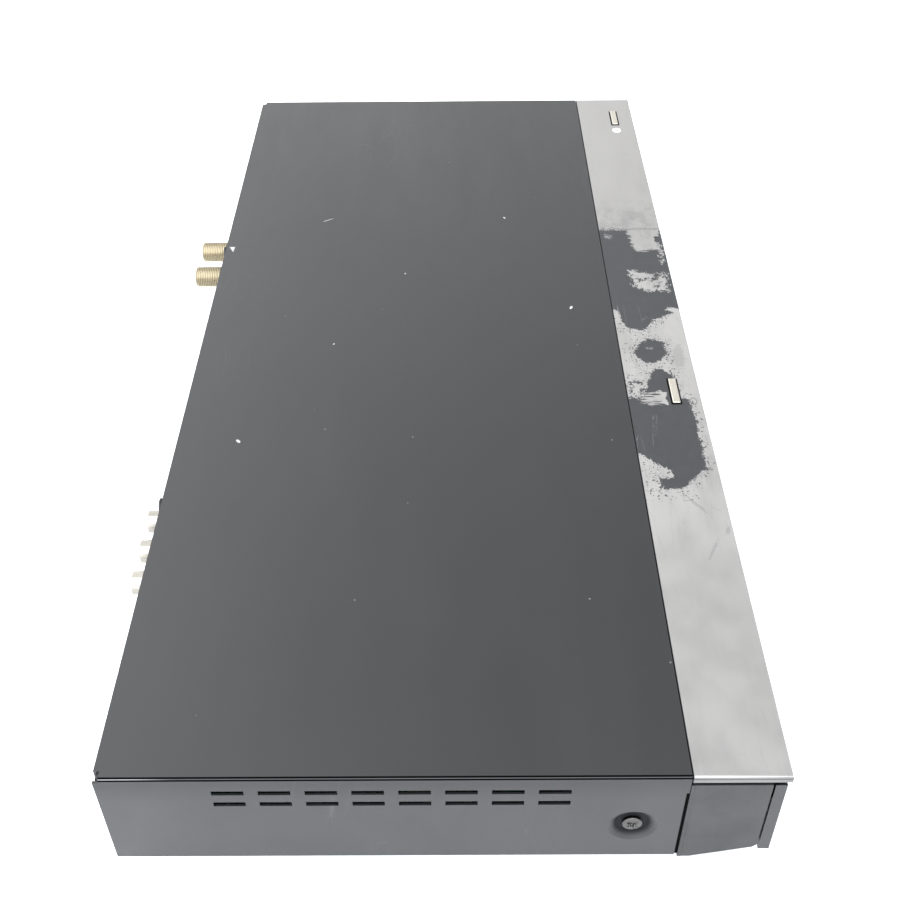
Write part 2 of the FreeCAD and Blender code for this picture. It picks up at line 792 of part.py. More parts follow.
def front_plate():
    """The fixed front panel, with the tray's window, the display's window and the flap's opening."""
    body = new_body("Plate")
    outline = sketch(body, "PlateOutline", "XZ_Plane", "-plate_back")
    rectangle(outline, "-side", "plate_bottom", "width", "body_top - plate_bottom")
    pad(body, outline, "plate_wall")
    windows = sketch(body, "PlateWindows", "XZ_Plane", "-plate_front + plate_wall")
    rectangle(windows, "drive_x - bezel_width / 2 - bezel_gap", "bezel_low - bezel_gap",
              "bezel_width + 2 * bezel_gap", "bezel_height + 2 * bezel_gap")
    rectangle(windows, "display_left", "display_low", "display_length", "display_height")
    rectangle(windows, "flap_left - bezel_gap", "plate_bottom - 1", "flap_length + 2 * bezel_gap",
              "body_top - plate_bottom - 1")
    pocket(body, windows, "3 * plate_wall")
    holes = []
    for name, x in (("Left", "flap_left - bezel_gap - 3"), ("Right", "flap_right + bezel_gap - 0.5")):
        holes.append(post(f"PinHole{name}", "X", x, "flap_pin_y", "flap_pin_z",
                          "flap_pin_radius + 2 * running_gap", "3.5"))
    bosses = []
    for index, x in enumerate(("-side + 1", "drive_x - 102", "display_left - 8", "flap_left - 7", "side - 5")):
        bosses.append(block(f"PlateBoss{index}", x, "plate_back", "plate_bottom + 6", "4",
                            "body_front - plate_back", "plate_boss_height"))
    return cut("FrontPlateDrilled", fuse("FrontPlateWhole", body, *bosses), *holes)


def front_flap():
    """The drop-down door: a flat leaf with a half-round hinge edge and a finger lip."""
    leaf = block("FlapLeaf", "flap_left", "plate_front", "flap_pin_z", "flap_length",
                 "plate_wall", "body_top - flap_top_gap - flap_pin_z")
    knuckle = rod("FlapKnuckle", "X", "flap_left", "flap_pin_y", "flap_pin_z", "plate_wall / 2",
                  "flap_length")
    recess = block("FlapRecess", "flap_left + 4", "plate_back - 1.2", "flap_pin_z + 5",
                   "flap_length - 8", "plate_wall", "body_top - flap_pin_z - 14")
    bores = [post(f"FlapBore{name}", "X", x, "flap_pin_y", "flap_pin_z", "flap_pin_radius", "8")
             for name, x in (("Left", "flap_left - 1"), ("Right", "flap_right - 7"))]
    return cut("FlapWhole", fuse("FlapSolid", leaf, knuckle), recess, *bores)


def flap_pins():
    pins = [post(f"FlapPin{name}", "X", x, "flap_pin_y", "flap_pin_z", "flap_pin_radius", "9")
            for name, x in (("Left", "flap_left - 2.5"), ("Right", "flap_right - 6.5"))]
    return group("FlapPins", pins)


def display_window():
    return block("Lens", "display_left + 0.1", "plate_front + 0.4", "display_low + 0.1", "display_length - 0.2",
                 "plate_wall - 0.4", "display_height - 0.2")


def button(name, x):
    """A capped key with a flange under the cap and a short stem."""
    flange_low = "height - cap_wall - button_flange - 0.1"
    body = new_body(name)
    crown = sketch(body, name + "Crown", "XY_Plane", flange_low)
    rectangle(crown, f"{x} - button_length / 2", "button_y - button_width / 2", "button_length", "button_width")
    key = pad(body, crown, "cap_wall + button_flange + 0.1 + button_proud")
    top = value("height + button_proud")
    round_edges(body, key, "button_edge_radius", lambda middle, length: near(middle.z, top))
    flange = sketch(body, name + "Flange", "XY_Plane", flange_low)
    rectangle(flange, f"{x} - button_length / 2 - button_flange_reach",
              "button_y - button_width / 2 - button_flange_reach",
              "button_length + 2 * button_flange_reach", "button_width + 2 * button_flange_reach")
    pad(body, flange, "button_flange")
    stem = sketch(body, name + "Stem", "XY_Plane", "key_top + switch_height + 0.8")
    rectangle(stem, f"{x} - stem_width / 2", "button_y - stem_width / 2", "stem_width", "stem_width")
    pad(body, stem, f"{flange_low} - key_top - switch_height - 0.8")
    return body


def switch_plungers():
    return [post(f"Plunger{index}", "Z", x, "button_y", "key_top + 2", "plunger_radius", "switch_height - 1.2")
            for index, x in enumerate(("open_button_x", "power_button_x"))]


def key_switches():
    """Two square switch housings, each with a well for its plunger."""
    housings = []
    for index, x in enumerate(("open_button_x", "power_button_x")):
        case = block(f"SwitchCase{index}", f"{x} - switch_width / 2", "button_y - 2.4", "key_top",
                     "switch_width", "switch_width - 0.8", "switch_height")
        well = post(f"SwitchWell{index}", "Z", x, "button_y", "key_top + 1.2", "plunger_radius + running_gap",
                    "switch_height")
        housings.append(cut(f"Switch{index}", case, well))
    return group("Switches", housings)


def key_board():
    return block("KeyBoardSheet", "open_button_x - 12", "button_y - 2.6", "key_board_z",
                 "power_button_x - open_button_x + 20", "key_board_depth", "key_board_wall")


def power_light():
    """A round light pipe on the key board, flush with the cap."""
    stem = post("LightStem", "Z", "light_x", "button_y", "key_top", "light_radius - 0.4",
                "height - key_top - 0.4")
    dome = rod("LightDome", "Z", "light_x", "button_y", "height - cap_wall", "light_radius",
               "cap_wall + 0.15")
    return fuse("LightPipe", stem, dome)


def front_board():
    """The upright board behind the display."""
    return block("FrontBoardSheet", "display_left - 4", "board_plane", "front_board_low",
                 "flap_right - display_left - 1", "board_wall", "front_board_height")


def display_tube():
    return block("TubeGlass", "display_left + 1", "body_front + 1.2", "display_low + 0.5",
                 "display_length - 2", "board_plane - body_front - 1.2", "display_height - 1")


def card_slots():
    """A card reader and a memory card socket, each with its slot, against the front board."""
    made = []
    for name, x, z, length, slot in (
        ("Card", "flap_left + 9", "card_z", "54", "1.2"),
        ("Memory", "flap_left + 9", "memory_z", "24", "2.4"),
    ):
        case = block(f"{name}Case", x, "body_front + body_wall + fit_gap", z, length,
                     "board_plane - body_front - body_wall - fit_gap", "card_height")
        mouth = block(f"{name}Mouth", f"{x} + 1", "body_front + body_wall / 2",
                      f"{z} + (card_height - {slot}) / 2", f"{length} - 2", "9", slot)
        made.append(cut(f"{name}Slot", case, mouth))
    return group("CardSlots", made)


def serial_port(name, x, y, z, reach, facing):
    """A flat metal port shell with a tongue in it, open at its facing end."""
    shell = block(f"{name}Shell", f"{x} - port_width / 2", y, z, "port_width", reach, "port_height")
    start = f"{y} - 1" if facing < 0 else f"{y} + 2"
    hollow = block(f"{name}Hollow", f"{x} - port_width / 2 + 0.75", start, f"{z} + 0.9", "port_width - 1.5",
                   f"{reach} - 1", "port_height - 1.8")
    tongue = block(f"{name}Tongue", f"{x} - port_width / 2 + 1.6", f"{y} + 1.2", f"{z} + 4",
                   "port_width - 3.2", f"{reach} - 2.4", "1.6")
    return fuse(name, cut(f"{name}Open", shell, hollow), tongue)


# Disc drive


def tooth_half_angle(teeth, radius, backlash):
    """Half the angle that an involute tooth spans at a radius, with its flanks set back."""
    module = value("gear_module")
    pitch = module * teeth / 2
    base = pitch * math.cos(math.radians(20))
    angle = math.acos(min(1.0, base / radius))
    spread = math.tan(angle) - angle
    pressure = math.radians(20)
    at_pitch = math.pi / (2 * teeth) - backlash / (2 * pitch)
    return at_pitch + math.tan(pressure) - pressure - spread


def gear_ring(body, name, teeth, low, thick, phase=0.0):
    """A spur gear about the body's own Z axis: a flat-sided root and a ring of involute teeth."""
    module = value("gear_module")
    pitch = module * teeth / 2
    root = pitch - 1.2 * module
    tip = pitch + 0.9 * module
    disc = sketch(body, name + "Root", "XY_Plane", low)
    corner = root / math.cos(math.pi / teeth)
    corners = []
    for i in range(teeth):
        angle = 2 * math.pi * i / teeth + phase
        corners.append(Vector(corner * math.cos(angle), corner * math.sin(angle), 0))
    path_through(disc, corners)
    pad(body, disc, thick)
    start = max(root, pitch * math.cos(math.radians(20)) + 0.02)
    sides = [(radius, tooth_half_angle(teeth, radius, 0.16)) for radius in (start, tip)]
    foot = (root - 0.3, sides[0][1] * sides[0][0] / root)
    flank = [foot] + sides
    turned = [(r, -a) for r, a in flank] + [(r, a) for r, a in reversed(flank)]
    tooth = sketch(body, name + "Tooth", "XY_Plane", low)
    path_through(tooth, [Vector(r * math.cos(a + phase), r * math.sin(a + phase), 0) for r, a in turned])
    first = pad(body, tooth, thick)
    return ring_of(body, [first], str(teeth))


def drive_gear():
    """The compound gear: a wheel below, driven by the pulley's pinion, and the tray's gear above."""
    body = new_body("DriveGear")
    gear_ring(body, "Wheel", int(value("wheel_teeth")), "gear_low", "wheel_thick")
    neck = sketch(body, "GearNeck", "XY_Plane", "gear_low + wheel_thick")
    round_outline(neck, "0", "0", "4 * axle_radius", 12)
    pad(body, neck, "gear_high - gear_low - wheel_thick")
    gear_ring(body, "RackGear", int(value("rack_gear_teeth")), "gear_high", "pulley_thick")
    place(body, "drive_gear_x", "gear_y", "0")
    return cut("DriveGearBored", body, axle_bore("DriveGear", "drive_gear_x"))


def axle_bore(name, x):
    """The hole through a gear for its axle."""
    return rod(name + "Bore", "Z", x, "gear_y", "gear_low - 1", "axle_radius + running_gap",
               "gear_high + pulley_thick - gear_low + 2")


def grooved_pulley(name, x, low, radius, rim):
    """A lower flange, a core that the belt runs on, and an upper flange."""
    groove = f"{low} + {rim}"
    upper = f"{groove} + belt_groove"
    return [
        post(name + "Lower", "Z", x, "gear_y", low, radius, rim, 24),
        post(name + "Core", "Z", x, "gear_y", groove, f"{radius} - groove_depth", "belt_groove", 24),
        post(name + "Upper", "Z", x, "gear_y", upper, radius, f"gear_high + pulley_thick - ({upper})", 24),
    ]


def pulley_gear():
    """The pulley and its pinion, moulded in one."""
    body = new_body("PulleyGear")
    teeth = int(value("pinion_teeth"))
    gear_ring(body, "Pinion", teeth, "gear_low", "pinion_thick", math.pi / teeth)
    neck = sketch(body, "PulleyNeck", "XY_Plane", "gear_low + pinion_thick")
    round_outline(neck, "0", "0", "axle_radius + 2.5", 12)
    pad(body, neck, "gear_high - gear_low - pinion_thick")
    place(body, "pulley_gear_x", "gear_y", "0")
    discs = grooved_pulley("Pulley", "pulley_gear_x", "gear_high", "pulley_radius", "pulley_rim")
    return cut("PulleyWhole", fuse("PulleySolid", body, *discs), axle_bore("Pulley", "pulley_gear_x"))


def motor_pulley():
    """The small pulley pressed on the loading motor's shaft."""
    discs = grooved_pulley("MotorPulley", "motor_x", "gear_high - fit_gap", "motor_pulley_radius",
                           "pulley_rim + fit_gap")
    return fuse("MotorPulleyWhole", *discs)


def loading_belt():
    """A square belt round both pulleys: two straight runs and two bent ends, as one loop."""
    clearance = 2 * value("running_gap")
    small = value("motor_pulley_radius - groove_depth") + clearance
    large = value("pulley_radius - groove_depth") + clearance
    gap = value("pulley_gear_x - motor_x")
    tilt = math.asin((large - small) / gap)

    def bend(middle, radius, start, sweep, steps):
        angles = [start + sweep * step / steps for step in range(steps + 1)]
        return [Vector(middle + radius * math.cos(a), radius * math.sin(a), 0) for a in angles]

    def loop(extra):
        points = bend(gap, large + extra, -math.pi / 2 - tilt, math.pi + 2 * tilt, 12)
        points += bend(0, small + extra, math.pi / 2 + tilt, math.pi - 2 * tilt, 8)
        return Part.Face(Part.makePolygon(points + points[:1]))

    belt = doc.addObject("Part::Feature", "Belt")
    height = value("belt_groove") - 0.1
    belt.Shape = loop(value("belt_thick")).cut(loop(0)).extrude(Vector(0, 0, height))
    belt.Placement.Base = Vector(value("motor_x"), value("gear_y"), value("gear_high + pulley_rim") + 0.05)
    return belt


def loading_motor():
    can = post("MotorCan", "Z", "motor_x", "gear_y", "drive_deck", "motor_radius",
               "gear_high - drive_deck - 1.2", 20)
    collar = post("MotorCollar", "Z", "motor_x", "gear_y", "gear_high - 1.2", "0.24 * motor_radius", "0.6")
    return fuse("LoadingMotor", can, collar)


def disc_tray():
    """The sliding tray: two disc recesses, a spindle slot, side arms and a toothed rack below."""
    body = new_body("Tray")
    outline = sketch(body, "TrayOutline", "XY_Plane", "tray_z")
    rectangle(outline, "drive_x - tray_width / 2", "tray_front", "tray_width", "tray_length")
    pad(body, outline, "tray_thick")
    slot = sketch(body, "TraySlot", "XY_Plane", "tray_top")
    rectangle(slot, "drive_x - tray_slot_width / 2", "disc_y - 20", "tray_slot_width", "90")
    pocket(body, slot, "2 * tray_thick")
    notch = sketch(body, "TrayNotch", "XY_Plane", "tray_top")
    rectangle(notch, "drive_x - tray_width / 2 + tray_arm", "disc_y + disc_radius + 4",
              "tray_width - 2 * tray_arm", "tray_length")
    pocket(body, notch, "2 * tray_thick")
    rack = sketch(body, "Rack", "XY_Plane", "tray_z - rack_height")
    rectangle(rack, "rack_x + 1.25 * gear_module", "tray_front + 2", "rack_back", "tray_length - 4")
    pad(body, rack, "rack_height")
    rack_teeth(body)
    bays = [post("TrayBay", "Z", "drive_x", "disc_y", "tray_top - bay_depth", "disc_radius",
                 "2 * bay_depth", 48),
            post("TrayInnerBay", "Z", "drive_x", "disc_y", "tray_top - 1.5 * bay_depth",
                 "small_disc_radius", "2 * bay_depth", 36)]
    return cut("TrayWhole", body, *bays)


def rack_teeth(body):
    """Straight-sided teeth along the rack, enough for the tray's whole way."""
    module = value("gear_module")
    pitch = math.pi * module
    half = pitch / 4 - 0.08
    slope = math.tan(math.radians(20)) * module
    tip = value("rack_x") - 0.92 * module
    root = value("rack_x") + 1.25 * module + 0.2
    # a gap of the rack faces the gear's tooth, so the first tooth stands half a pitch from the gear
    first = value("gear_y") + pitch / 2 - pitch * math.floor((value("gear_y - tray_front") - 6) / pitch)
    tooth = sketch(body, "RackTooth", "XY_Plane", "tray_z - rack_height")
    path_through(tooth, [
        Vector(root, first - half - 1.25 * slope, 0), Vector(tip, first - half + slope * 0.9, 0),
        Vector(tip, first + half - slope * 0.9, 0), Vector(root, first + half + 1.25 * slope, 0),
    ])
    one = pad(body, tooth, "rack_height - 1")
    count = int((value("tray_travel") + 8) / pitch)
    teeth = body.newObject("PartDesign::LinearPattern", "RackTeeth")
    teeth.Originals = [one]
    teeth.Direction = (origin_feature(body, "Y_Axis"), [""])
    teeth.Length = pitch * (count - 1)
    teeth.Occurrences = count
    body.Tip = teeth
    doc.recompute()


def tray_bezel():
    """The tray's front, with two clips that hold it to the tray."""
    face = block("BezelFace", "drive_x - bezel_width / 2", "plate_front", "bezel_low", "bezel_width",
                 "plate_wall", "bezel_height")
    neck = block("BezelNeck", "drive_x - bezel_width / 2 + 4", "plate_back", "tray_z", "bezel_width - 8",
                 "tray_front - plate_back", "tray_thick")
    return fuse("BezelWhole", face, neck)


def drive_frame():
    """The drive's moulded base: floor with a window, walls, tray rails, gear axles and lift guides."""
    left = "drive_x - drive_width / 2"
    floor = block("DriveFloor", left, "drive_front", "drive_floor", "drive_width", "drive_depth",
                  "drive_floor_wall")
    tall = "drive_height - bridge_wall"
    walls = [
        block("DriveLeft", left, "drive_front", "drive_floor", "drive_wall", "drive_depth", tall),
        block("DriveRight", "drive_x + drive_inner", "drive_front", "drive_floor", "drive_wall",
              "drive_depth", tall),
        block("DriveBack", left, "drive_front + drive_depth - drive_wall", "drive_floor", "drive_width",
              "drive_wall", "tray_z - drive_floor - 2"),
    ]
    rails = []
    for name, sign in (("Left", -1), ("Right", 1)):
        for kind, reach, z, length, rise in (
            ("Rail", "tray_side_gap + rail_grip", "tray_z - rail_thick - 0.1", "drive_depth", "rail_thick"),
            ("Keeper", "tray_side_gap + rail_grip / 2", "tray_top + 0.2", "30", "0.8 * rail_thick"),
        ):
            x = "drive_x - drive_inner" if sign < 0 else f"drive_x + drive_inner - ({reach})"
            rails.append(block(kind + name, x, "drive_front", z, reach, length, rise))
    axles = []
    for name, x in (("Drive", "drive_gear_x"), ("Pulley", "pulley_gear_x")):
        axles.append(rod(f"Axle{name}", "Z", x, "gear_y", "drive_floor", "axle_radius",
                         "gear_high + pulley_thick + 0.2 - drive_floor"))
        axles.append(post(f"Boss{name}", "Z", x, "gear_y", "drive_floor", "axle_radius + 2.5",
                          "gear_low - 0.2 - drive_floor"))
    guides = []
    for index, (x, y) in enumerate(guide_places()):
        guides.append(post(f"Guide{index}", "Z", x, y, "drive_floor", "guide_radius", "13", 8))
        guides.append(block(f"GuideSeat{index}", f"{x} - 3", f"{y} - 3", "drive_floor", "6", "6",
                            "traverse_z - 2.3 - drive_floor"))
    track = [
        block("CamTrackFront", "drive_x - 40", "disc_y - 33", "drive_floor", "80", "1.2", "5"),
        block("CamTrackBack", "drive_x - 40", "disc_y - 28.6", "drive_floor", "80", "1.2", "2.2"),
    ]
    window = block("FloorWindow", "drive_x - 24", "disc_y + 20", "drive_floor - 1", "48", "48", "5")
    return cut("DriveBase", fuse("DriveWhole", floor, *walls, *rails, *axles, *guides, *track), window)


def guide_places():
    spots = []
    for y in ("disc_y - 16", "disc_y + 66"):
        spots.append(("drive_x - guide_spread", y))
        spots.append(("drive_x + guide_spread", y))
    return spots


def drive_bridge():
    """The steel top plate over the tray, holed for the clamp."""
    plate = block("BridgePlate", "drive_x - drive_width / 2", "drive_front", "drive_top - bridge_wall",
                  "drive_width", "drive_depth", "bridge_wall")
    hole = post("ClampHole", "Z", "drive_x", "disc_y", "drive_top - 3", "clamp_radius - 2", "6", 24)
    slots = [block(f"BridgeSlot{side}", f"drive_x + {side} * 46 - 5", "disc_y - 30", "drive_top - 3", "10",
                   "60", "6") for side in (-1, 1)]
    ribs = [block(f"BridgeRib{index}", "drive_x - 60", f"disc_y + {y}", "drive_top", "120", "3", "0.5")
            for index, y in enumerate((-44, 44))]
    return cut("BridgeWhole", fuse("BridgeSolid", plate, *ribs), hole, *slots)


def clamp_puck():
    """The magnetic clamp, hung in the bridge by its rim."""
    foot = "tray_top + 2.4"
    seat = "drive_top + 0.1"
    plug = taper("PuckPlug", "drive_x", "disc_y", foot, "clamp_radius - 4", "clamp_radius - 2.6",
                 f"{seat} - ({foot})")
    rim = post("PuckRim", "Z", "drive_x", "disc_y", seat, "clamp_radius", "bridge_wall", 24)
    return fuse("Puck", plug, rim)


def cam_slider():
    """The slide whose two slanted slots lift the traverse."""
    bar = block("CamBar", "drive_x - 36", "slider_front", "drive_deck + 0.2", "62", "2.8", "11")
    slots = []
    rise = value("traverse_lift")
    run = value("cam_travel")
    radius = value("lift_pin_radius + running_gap")
    for index, x in enumerate(LIFT_PIN_OFFSETS):
        # the pin starts at the slot's low right end, and the slide's way to -X lifts it
        low = Vector(value(f"drive_x + {x}"), 0, value("sled_z"))
        high = low + Vector(run, 0, rise)
        along = (high - low).normalize()
        across = Vector(-along.z, 0, along.x) * radius
        bottom = low - along * radius
        end = high + along * radius
        edges = [
            Part.LineSegment(low + across, high + across).toShape(),
            Part.Arc(high + across, end, high - across).toShape(),
            Part.LineSegment(high - across, low - across).toShape(),
            Part.Arc(low - across, bottom, low + across).toShape(),
        ]
        face = Part.Face(Part.Wire(edges))
        slot = doc.addObject("Part::Feature", f"CamSlot{index}")
        slot.Shape = face.extrude(Vector(0, 6, 0))
        slot.Placement.Base = Vector(0, value("slider_front") - 1, 0)
        slots.append(slot)
    return cut("CamWhole", bar, *slots)


def traverse_plate():
    """The lifting deck: plate with a pickup window, lift pins in front and four guide ears."""
    deck = block("Deck", "drive_x - 37", "disc_y - 27", "traverse_z", "74", "98", "deck_wall")
    ears = []
    for index, (x, y) in enumerate(guide_places()):
        ears.append(block(f"Ear{index}", f"{x} - 5", f"{y} - 5", "traverse_z - 2", "10", "10",
                          "deck_wall + 2"))
    apron = block("Apron", "drive_x - 34", "disc_y - 27", "sled_z - 2", "40", "deck_wall",
                  "traverse_z - sled_z + 2")
    pins = [post(f"LiftPin{index}", "Y", f"drive_x + {x}", "slider_front", "sled_z", "lift_pin_radius", "5")
            for index, x in enumerate(LIFT_PIN_OFFSETS)]
    window = block("DeckWindow", "drive_x - 26", "disc_y + 11.5", "traverse_z - 1", "52", "56.5", "4")
    spindle = post("SpindleHole", "Z", "drive_x", "disc_y", "traverse_z - 1", "2", "4")
    bores = [post(f"EarBore{index}", "Z", x, y, "traverse_z - 3", "bush_radius", "6", 8)
             for index, (x, y) in enumerate(guide_places())]
    hangers = []
    for index, y in enumerate(("disc_y + 12.5", "disc_y + 68")):
        for mark, x in (("a", "drive_x - 33"), ("b", "drive_x + 25")):
            hangers.append(block(f"Hanger{index}{mark}", x, y, "sled_z - 2", "6", "2",
                                 "traverse_z - sled_z + 2.2"))
    rods = [post(f"RodSeat{index}", "Y", x, "disc_y + 11", "sled_z", "rod_radius + running_gap", "60")
            for index, x in enumerate(("rod_x", "screw_x"))]
    return cut("TraverseWhole", fuse("TraverseSolid", deck, *ears, apron, *pins, *hangers), window, spindle,
               *bores, *rods)


def damper_bushes():
    """Rubber bushes between the deck's ears and the guides."""
    bushes = []
    for index, (x, y) in enumerate(guide_places()):
        outer = post(f"BushOuter{index}", "Z", x, y, "traverse_z - 2", "bush_radius", "deck_wall + 2", 8)
        bore = post(f"BushBore{index}", "Z", x, y, "traverse_z - 3", "guide_radius + running_gap", "6", 8)
        bushes.append(cut(f"Bush{index}", outer, bore))
    return group("Bushes", bushes)


def spindle_motor():
    can = post("SpindleCan", "Z", "drive_x", "disc_y", "drive_deck + 0.5", "spindle_motor_radius",
               "traverse_z - drive_deck - 0.5", 20)
    bore = rod("SpindleBore", "Z", "drive_x", "disc_y", "traverse_z - 3", "shaft_radius + running_gap", "8")
    sleeve = post("SpindleSleeve", "Z", "drive_x", "disc_y", "traverse_z", "2", "deck_wall")
    return cut("SpindleMotor", fuse("SpindleSolid", can, sleeve), bore)


def turntable():
    """The disc seat: shaft, boss, table and a tapered centring hub."""
    table = post("Table", "Z", "drive_x", "disc_y", "traverse_z + 4.1", "table_radius", "1.8", 24)
    boss = post("TableBoss", "Z", "drive_x", "disc_y", "traverse_z + 1.6", "0.4 * table_radius", "2.6")
    hub = taper("TableHub", "drive_x", "disc_y", "traverse_z + 5.9", "table_hub_radius",
                "table_hub_radius - 1.4", "2")
    shaft = rod("TableShaft", "Z", "drive_x", "disc_y", "traverse_z - 2.8", "shaft_radius", "4.6")
    return fuse("Turntable", table, boss, hub, shaft)


def guide_rod():
    return post("GuideRod", "Y", "rod_x", "disc_y + 12.5", "sled_z", "rod_radius", "57.5")


def pickup():
    """The optical sled: body on a rod, lens carrier, and a nut half that rides on the lead screw."""
    y = "pickup_y - sled_length / 2 - 0.3"
    core = block("SledCore", "drive_x - 25", y, "sled_z - 2.6", "50", "sled_length", "6.6")
    arm = block("SledArm", "drive_x - 33", y, "sled_z - 2.4", "8.5", "sled_length", "4.8")
    nut = block("SledNut", "drive_x + 24", f"{y} + 5", "sled_z - 2.4", "7", "8", "4.8")
    holes = [post(f"SledBore{index}", "Y", x, f"{y} - 1", "sled_z", "rod_radius + running_gap",
                  "sled_length + 2") for index, x in enumerate(("rod_x", "screw_x"))]
    return cut("Sled", fuse("SledSolid", core, arm, nut), *holes)


def pickup_lens():
    ring = post("LensRing", "Z", "drive_x", "pickup_y", "sled_z + 4", "lens_radius", "0.9", 16)
    eye = post("LensEye", "Z", "drive_x", "pickup_y", "sled_z + 4.9", "0.6 * lens_radius", "0.5")
    return fuse("Lens_unit", ring, eye)


def lead_screw():
    return rod("LeadScrew", "Y", "screw_x", "disc_y + 12.6", "sled_z",
               "rod_radius - running_gap", "57.4")


def sled_motor():
    return post("SledMotor", "Y", "screw_x", "disc_y + 70", "sled_z", "2.8", "10", 16)


# Hard disk, boards, fan and sockets


def hard_disk():
    """A sealed drive with a raised lid and a stepped casting."""
    body = new_body("HardDisk")
    outline = sketch(body, "DiskOutline", "XY_Plane", "disk_z")
    rectangle(outline, "disk_x - disk_width / 2", "disk_front", "disk_width", "disk_length")
    case = pad(body, outline, "disk_height - disk_lid")
    low = value("disk_z")
    round_edges(body, case, "disk_corner", lambda middle, length: near(length, value("disk_height - disk_lid"))
                and middle.z > low)
    lid = sketch(body, "DiskLid", "XY_Plane", "disk_z + disk_height - disk_lid")
    rectangle(lid, "disk_x - disk_width / 2 + 4", "disk_front + 6", "disk_width - 8", "disk_length - 20")
    pad(body, lid, "disk_lid")
    return body


def hard_disk_bracket():
    """Two folded cheeks that carry the disk above the pan."""
    parts = []
    along = ("disk_front + 8", "disk_length - 24")
    for side, x in (("Left", "disk_x - disk_width / 2 - 1"), ("Right", "disk_x + disk_width / 2")):
        cheek = block(f"Cheek{side}", x, along[0], "floor_top", "1", along[1], "bracket_rise")
        foot_x = f"{x} - 8" if side == "Left" else f"{x} + 1"
        foot = block(f"CheekFoot{side}", foot_x, along[0], "floor_top + rib_rise", "8", along[1], "1")
        shelf_x = x if side == "Left" else f"{x} - 6"
        shelf = block(f"CheekShelf{side}", shelf_x, along[0], "disk_z - 1", "7", along[1], "1")
        parts.append(fuse(f"Bracket{side}", cheek, foot, shelf))
    return group("Brackets", parts)


def main_board():
    back = "panel_front - fit_gap"
    main = block("MainBoardSheet", "main_board_x", f"{back} - main_board_depth", "board_bottom",
                 "main_board_width", "main_board_depth", "board_wall")
    left = block("MainBoardLeft", "main_board_x - 38", f"{back} - board_wing", "board_bottom", "40",
                 "board_wing", "board_wall")
    right = block("MainBoardRight", "main_board_x + main_board_width - 2", f"{back} - board_wing",
                  "board_bottom", "26", "board_wing", "board_wall")
    return fuse("MainBoardWhole", main, left, right)


def power_board():
    return block("PowerBoardSheet", "power_board_x", "power_board_y", "board_bottom", "power_board_width",
                 "power_board_depth", "board_wall")


def main_chip_sink():
    """A finned aluminium block."""
    x = "main_board_x + 6"
    y = "panel_front - 57"
    base = block("SinkBase", x, y, "board_top", "sink_size", "sink_size", "3")
    fins = [block(f"SinkFin{index}", f"{x} + {index} * (sink_size - fin_wall) / 6", y, "board_top + 3",
                  "fin_wall", "sink_size", "9") for index in range(7)]
    return fuse("MainSink", base, *fins)


def tuner_can():
    return block("TunerCan", "antenna_x - tuner_side", "panel_front - tuner_depth", "board_top",
                 "antenna_pitch + 2 * tuner_side", "tuner_depth", "height - 4 - board_top")


def antenna_connectors():
    """Two round threaded sockets on the tuner can, each open at its end."""
    made = []
    for column in range(2):
        x = f"antenna_x + {column} * antenna_pitch"
        name = f"Antenna{column}"
        barrel = post(name + "Barrel", "Y", x, "panel_front", "socket_z", "antenna_radius",
                      "rear + antenna_proud - panel_front", 24)
        bore = post(name + "Bore", "Y", x, "rear + antenna_proud - 1.2", "socket_z", "0.7 * antenna_radius", "3")
        made.append(cut(name, barrel, bore))
    return group("Antennas", made)


def av_jacks():
    """The jack block on the board, with a coloured collar round each jack."""
    case = block("JackCase", "jack_x - 2 * jack_pitch - jack_pitch / 2 + 0.3", "panel_front - 12", "board_top",
                 "2 * jack_pitch + jack_pitch - 1.6", "12", "socket_z + 7 - board_top")
    rings = [post(f"JackRing{column}", "Y", f"jack_x - {column} * jack_pitch", "panel_front - 1", "socket_z",
                  "jack_radius + jack_collar", "2.9", 16) for column in range(3)]
    wells = [post(f"JackWell{column}", "Y", f"jack_x - {column} * jack_pitch", "panel_front", "socket_z",
                  "jack_radius + running_gap", "4", 20) for column in range(3)]
    return cut("JackBlock", fuse("JackSolid", case, *rings), *wells)


def av_shells():
    """Metal sleeves of the jacks, one for each signal."""
    made = []
    for column in range(3):
        x = f"jack_x - {column} * jack_pitch"
        sleeve = post(f"Sleeve{column}", "Y", x, "panel_front", "socket_z", "jack_radius",
                      "rear + jack_proud - panel_front", 20)
        bore = post(f"SleeveBore{column}", "Y", x, "panel_front + 1", "socket_z", "jack_bore_radius", "30")
        made.append(cut(f"Shell{column}", sleeve, bore))
    return group("Shells", made)


def network_socket():
    """The network jack: an open box with a stepped mouth."""
    x, z, length, height = socket_outlines()["Network"]
    case = block("NetCase", f"{x} - ({length}) / 2", "panel_front - 15", z, length, "16.6", height)
    mouth = block("NetMouth", f"{x} - 5.9", "panel_front - 11", f"{z} + 2.6", "11.8", "20", "8")
    key = block("NetKey", f"{x} - 3", "panel_front - 11", f"{z} + 1", "6", "20", "4")
    return cut("NetSocket", case, mouth, key)


def digital_socket():
    """The picture and sound socket: a shell with sloped lower corners and a tongue."""
    x, z, length, height = socket_outlines()["Digital"]
    case = block("DigitalCase", f"{x} - ({length}) / 2", "panel_front - 11", z, length, "12.4", height)
    mouth = block("DigitalMouth", f"{x} - 7", "panel_front - 8", f"{z} + 0.8", "14", "12", "4.5")
    tongue = block("DigitalTongue", f"{x} - 5.6", "panel_front - 9", f"{z} + 2.4", "11.2", "9.4", "1.2")
    return fuse("DigitalSocket", cut("DigitalOpen", case, mouth), tongue)


